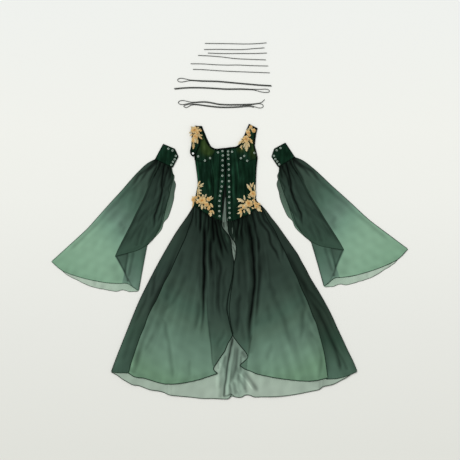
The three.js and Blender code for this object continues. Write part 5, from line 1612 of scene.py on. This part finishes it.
def sleeve_tone(points, down):
    doubled = smooth((inside(points, DOUBLE) + 3) / 6)
    corner = smooth((inside(points, CORNER_FOLD) + 3) / 6)
    return np.clip(run_tone(points) - 0.24 * doubled - 0.16 * corner, 0, 1)


def petal_tone(points, down):
    return np.clip(down, 0, 1)


def under_sleeve_tone(points, down):
    return np.clip(run_tone(points), 0, 1)


BAND_EDGES = (
    [(-359, 634), (-297, 608)], [(-403, 552), (-309, 508)], [(-359, 634), (-403, 552)],
    [(-297, 608), (-278, 567), (-309, 508)],
)
for side in ("left", "right"):
    move = to_side(side)
    own = {"side": side, "move": move}
    cloth_piece(
        f"band_{side}_front", BAND_EDGES, level(BAND_TOP), [f"band_front_{side}"], "laid",
        [f"band_back_{side}"], BAND_EYELETS, move=move, seed=31, step=2.2, wave=0.4,
    )
    flat_piece(f"band_{side}_back", BAND_OUTLINE, [f"band_back_{side}"], move)
    binding(
        f"band_{side}_binding", [even(BAND_OUTLINE + BAND_OUTLINE[:1], 120)], 1.5, height=level(BAND_TOP),
        drop=1.0, move=move,
    )
    rings(f"band_{side}_grommets", BAND_EYELETS, level(BAND_TOP), move=move)
    SLEEVE_BELOW.make(
        SLEEVE_UNDER, "sleeve_under", under_sleeve_tone, [f"sleeve_under_{side}"], [], (0.62, 0.86), 0.31,
        (HEM_PALE, 1.3), "laid", ["bottom", "right"], **own,
    )
    SLEEVE_MAIN.make(
        SLEEVE, "sleeve", sleeve_tone, [f"sleeve_main_{side}"], [f"sleeve_under_{side}_layer"], (0.62, 0.86),
        0.31, (HEM_SLEEVE, 1.6), **own,
    )
    SLEEVE_PETAL.make(
        PETAL, "petal", petal_tone, [f"sleeve_petal_{side}"], [f"sleeve_main_{side}_layer"], (0.30, 0.52),
        0.09, (HEM_DARK, 1.5), **own,
    )


# ------------------------------------------------------------ lace appliques

LACE_PROUD = 1.2  # how far the applique stands above the smooth cloth, so that no fold cuts through it
LACE_CLOTH = 0.6
BODICE_LOW = 6.4  # no lace is set lower than this
BIG_FLOWER = 10  # flowers with a greater radius have more petals, leaves and beads
BEAD_RADIUS = 1.5
# Each applique's flowers, as x, y and radius, and its leaves, as the x and y of both ends and the width.
APPLIQUES = {
    "shoulder_left": (
        listed("-191,708,18 -157,706,6 -185,674,14 -196,650,9 -174,692,11"),
        listed("""
            -190,716,-212,728,12 -178,716,-166,727,11 -206,700,-220,692,9 -200,688,-217,678,9
            -175,700,-156,717,9 -178,684,-145,681,10 -168,678,-147,659,9 -186,690,-184,652,17
            -178,664,-173,635,12 -196,672,-205,648,10 -196,642,-197,605,13 -190,658,-184,640,9
            -202,655,-207,640,6
        """),
    ),
    "shoulder_right": (
        listed("89,661,17 114,726,9 129,707,11 99,696,11 105,681,8"),
        listed("""
            96,700,108,722,10 112,716,126,712,8 70,655,43,629,12 72,664,57,660,7 80,648,66,640,9
            108,664,124,636,13 112,656,122,652,8 90,645,91,592,18 84,640,74,614,7 98,645,107,616,9
            68,628,54,612,7 62,618,66,602,6 96,690,88,712,8
        """),
    ),
    "hip_left": (
        listed("""
            -149,330,20 -174,322,9 -196,334,11 -115,336,11 -125,309,12 -115,285,8 -103,270,7 -184,346,8
        """),
        listed("""
            -196,330,-203,290,9 -190,342,-206,352,8 -175,392,-175,342,7 -169,400,-164,362,9
            -166,386,-150,384,7 -166,372,-150,366,8 -171,402,-168,424,7 -169,416,-158,436,8
            -165,408,-138,424,9 -162,403,-142,407,7 -170,402,-162,396,6 -135,345,-126,365,9
            -112,340,-96,354,8 -108,334,-88,345,9 -150,308,-150,280,13 -158,312,-168,296,8
            -138,304,-130,282,10 -104,314,-90,291,11 -118,302,-104,288,13 -102,270,-105,241,12
            -96,278,-85,255,9 -108,264,-112,252,6 -144,350,-146,363,8 -163,346,-167,360,8
            -132,324,-120,298,15 -180,338,-166,330,9
        """),
    ),
    "hip_right": (
        listed("103,313,19 124,364,16 144,297,11 155,310,8 59,268,7 76,296,10 129,330,8 137,314,10"),
        listed("""
            118,380,91,419,15 118,400,110,424,8 121,402,128,428,8 134,386,136,417,8 82,330,77,360,9
            78,321,38,340,16 62,330,44,324,8 76,305,43,294,14 70,286,42,275,10 64,270,39,258,9
            64,270,57,238,10 76,278,81,262,9 100,288,109,254,14 92,286,96,271,9 118,292,131,285,8
            150,290,173,268,11 146,286,160,270,10 156,298,168,285,9 158,312,167,304,8 112,354,98,361,9
            112,342,96,350,9 134,374,139,386,8 130,348,137,338,9 90,312,76,298,14 94,298,78,282,14
        """),
    ),
}


def petal(x, y, angle, start, end, width, low, high, curl, chance):
    """One petal, from `start` to `end` millimetres out: rounded, ribbed and lifted at its tip."""
    size = 7
    t = np.linspace(0, 1, size)[:, None]
    s = np.linspace(-1, 1, size)[None, :]
    reach = start + (end - start) * t * (1 - 0.10 * s**2)
    side = width / 2 * np.sin(math.pi * (0.14 + 0.78 * t)) ** 0.6 * s
    rib = np.cos(3 * math.pi * s)
    height = low + (high - low) * t**1.5 + curl * s**2 * t + 0.35 * rib * t
    ux, uy = math.cos(angle), math.sin(angle)
    points = np.stack([x + reach * ux - side * uy, y + reach * uy + side * ux, height], axis=-1)
    # The tone is painted shade and light: lowest at the root, under the petals above, and higher towards the
    # raised tip and edges.
    tone = 0.16 + 0.46 * t + 0.34 * s**4 - 0.10 * rib + chance.uniform(-0.14, 0.14)
    return points.reshape(-1, 3), grid_faces(size, size), tone.ravel()


# A flower's rings of petals, outer ring first. In radii: where they start and end, and how wide they are.
# In millimetres: the height of their roots and tips, and their curl.
PETAL_RINGS = [
    (8, 0.22, 1.05, 0.86, 0.5, 1.6, 0.5), (7, 0.14, 0.78, 0.74, 1.5, 3.2, 0.7),
    (5, 0.06, 0.52, 0.64, 2.4, 4.6, 1.1),
]


def flower(x, y, radius, chance):
    """Layers of petals on a ring of small leaves."""
    leaves, layers = (6, 3) if radius > BIG_FLOWER else (4, 2)
    parts = []
    for number in range(leaves):
        angle = chance.uniform(-0.4, 0.4) + number * 2 * math.pi / leaves
        reach = radius * chance.uniform(1.0, 1.3)
        tip = x + reach * math.cos(angle), y + reach * math.sin(angle)
        parts.append(leaf(x, y, *tip, 0.55 * radius + 2, chance))
    for count, start, end, width, low, high, curl in PETAL_RINGS[:layers]:
        phase = chance.uniform(0, 2 * math.pi)
        for number in range(count):
            angle = phase + number * 2 * math.pi / count + chance.uniform(-0.12, 0.12)
            reach = radius * end * chance.uniform(0.9, 1.08)
            parts.append(petal(x, y, angle, radius * start, reach, radius * width, low, high, curl, chance))
    return parts


def leaf(x0, y0, x1, y1, width, chance):
    """A pointed leaf with toothed edges, a raised vein and openwork between them."""
    rows, columns, holed = 19, 9, (2, 5)
    t = np.linspace(0, 1, rows)[:, None]
    s = np.linspace(-1, 1, columns)[None, :]
    length = math.hypot(x1 - x0, y1 - y0)
    tooth = 1 - (t * max(3, round(length / 9))) % 1
    half = 0.58 * width * np.sin(math.pi * np.clip(0.10 + 0.90 * t, 0, 1)) ** 0.75 * (0.52 + 0.58 * tooth)
    bend = chance.uniform(-0.06, 0.06) * length
    run = t * length
    side = half * s + bend * np.sin(math.pi * t)
    ux, uy = (x1 - x0) / length, (y1 - y0) / length
    rim = np.abs(s)
    height = 0.9 + 1.3 * bell(s / 0.22) + 0.7 * rim**3 + 0.5 * tooth * rim
    points = np.stack([x0 + run * ux - side * uy, y0 + run * uy + side * ux, height], axis=-1)
    # The tone is painted light and shade: higher on the raised vein and rim, lower between them.
    tone = 0.26 + 0.44 * bell(s / 0.25) + 0.52 * rim**3 + 0.16 * t + chance.uniform(-0.12, 0.12)
    faces = []
    for row in range(rows - 1):
        for column in range(columns - 1):
            if column in holed and row % 3 == 1 and 2 < row < rows - 4:
                continue
            a = row * columns + column
            faces.append((a, a + 1, a + 1 + columns, a + columns))
    return points.reshape(-1, 3), faces, tone.ravel()


def bead(x, y, z):
    rings_up, sides = 5, 8
    points = []
    for step in range(rings_up):
        lean = math.pi * (step + 0.5) / rings_up
        out, up = BEAD_RADIUS * math.sin(lean), BEAD_RADIUS * math.cos(lean)
        for side in range(sides):
            turn = 2 * math.pi * side / sides
            points.append((x + out * math.cos(turn), y + out * math.sin(turn), z + up))
    return np.array(points), closed_tube(rings_up, sides, flip=True)


def bead_places(x, y, radius):
    """A bead in the middle of a flower and a ring of beads round it."""
    around, height = (6, 3.4) if radius > BIG_FLOWER else (3, 2.6)
    spread = 0.16 * radius
    turns = [2 * math.pi * number / around for number in range(around)]
    ring_places = [(x + spread * math.cos(turn), y + spread * math.sin(turn), height) for turn in turns]
    return [(x, y, height)] + ring_places


def cloth_surface(points):
    """Top of whatever lies on top at a point of the bodice or of the skirt."""
    highest = bodice_top(points)
    waist_y = np.interp(points[:, 0], WAIST[:, 0], WAIST[:, 1])
    below = points[:, 1] < waist_y + 4
    if below.any():
        for layer in (LEFT, RIGHT):
            z, _, within = layer.height(points[below])
            bodice = np.where(points[below, 1] < waist_y[below] - 3, 0, highest[below])
            highest[below] = np.maximum(bodice, np.where(within > -2, z + 1.6, 0))
    return np.maximum(highest, BODICE_LOW)


for name, (flowers, leaves) in APPLIQUES.items():
    chance = np.random.default_rng(sum(map(ord, name)))
    parts, beads, pale = [], [], []
    for motif in leaves:
        parts.append(leaf(*motif, chance))
        pale.append(chance.uniform(0.4, 1.0))
    for motif in flowers:
        made = flower(*motif, chance)
        parts += made
        pale += list(chance.uniform(0.0, 0.3, len(made)))
        beads += [bead(*at) for at in bead_places(*motif)]
    surface = level(TAB_TOP + 0.2) if name == "shoulder_left" else cloth_surface
    points, faces = joined([(some_points, some_faces) for some_points, some_faces, _ in parts])
    points[:, 2] += surface(points[:, :2]) + LACE_PROUD
    tones = [tone for _, _, tone in parts]
    shares = [np.full(len(tone), share) for tone, share in zip(tones, pale)]
    piece = build(
        f"applique_{name}_lace", points, faces, GOLD, "applique", [f"applique_{name}"],
        tone=np.concatenate(tones), shade=np.concatenate(shares),
    )
    thicken(piece, LACE_CLOTH)
    points, faces = joined(beads)
    points[:, 2] += surface(points[:, :2]) + LACE_PROUD
    build(f"applique_{name}_beads", points, faces, SEED, "applique", tone=np.full(len(points), 0.5))
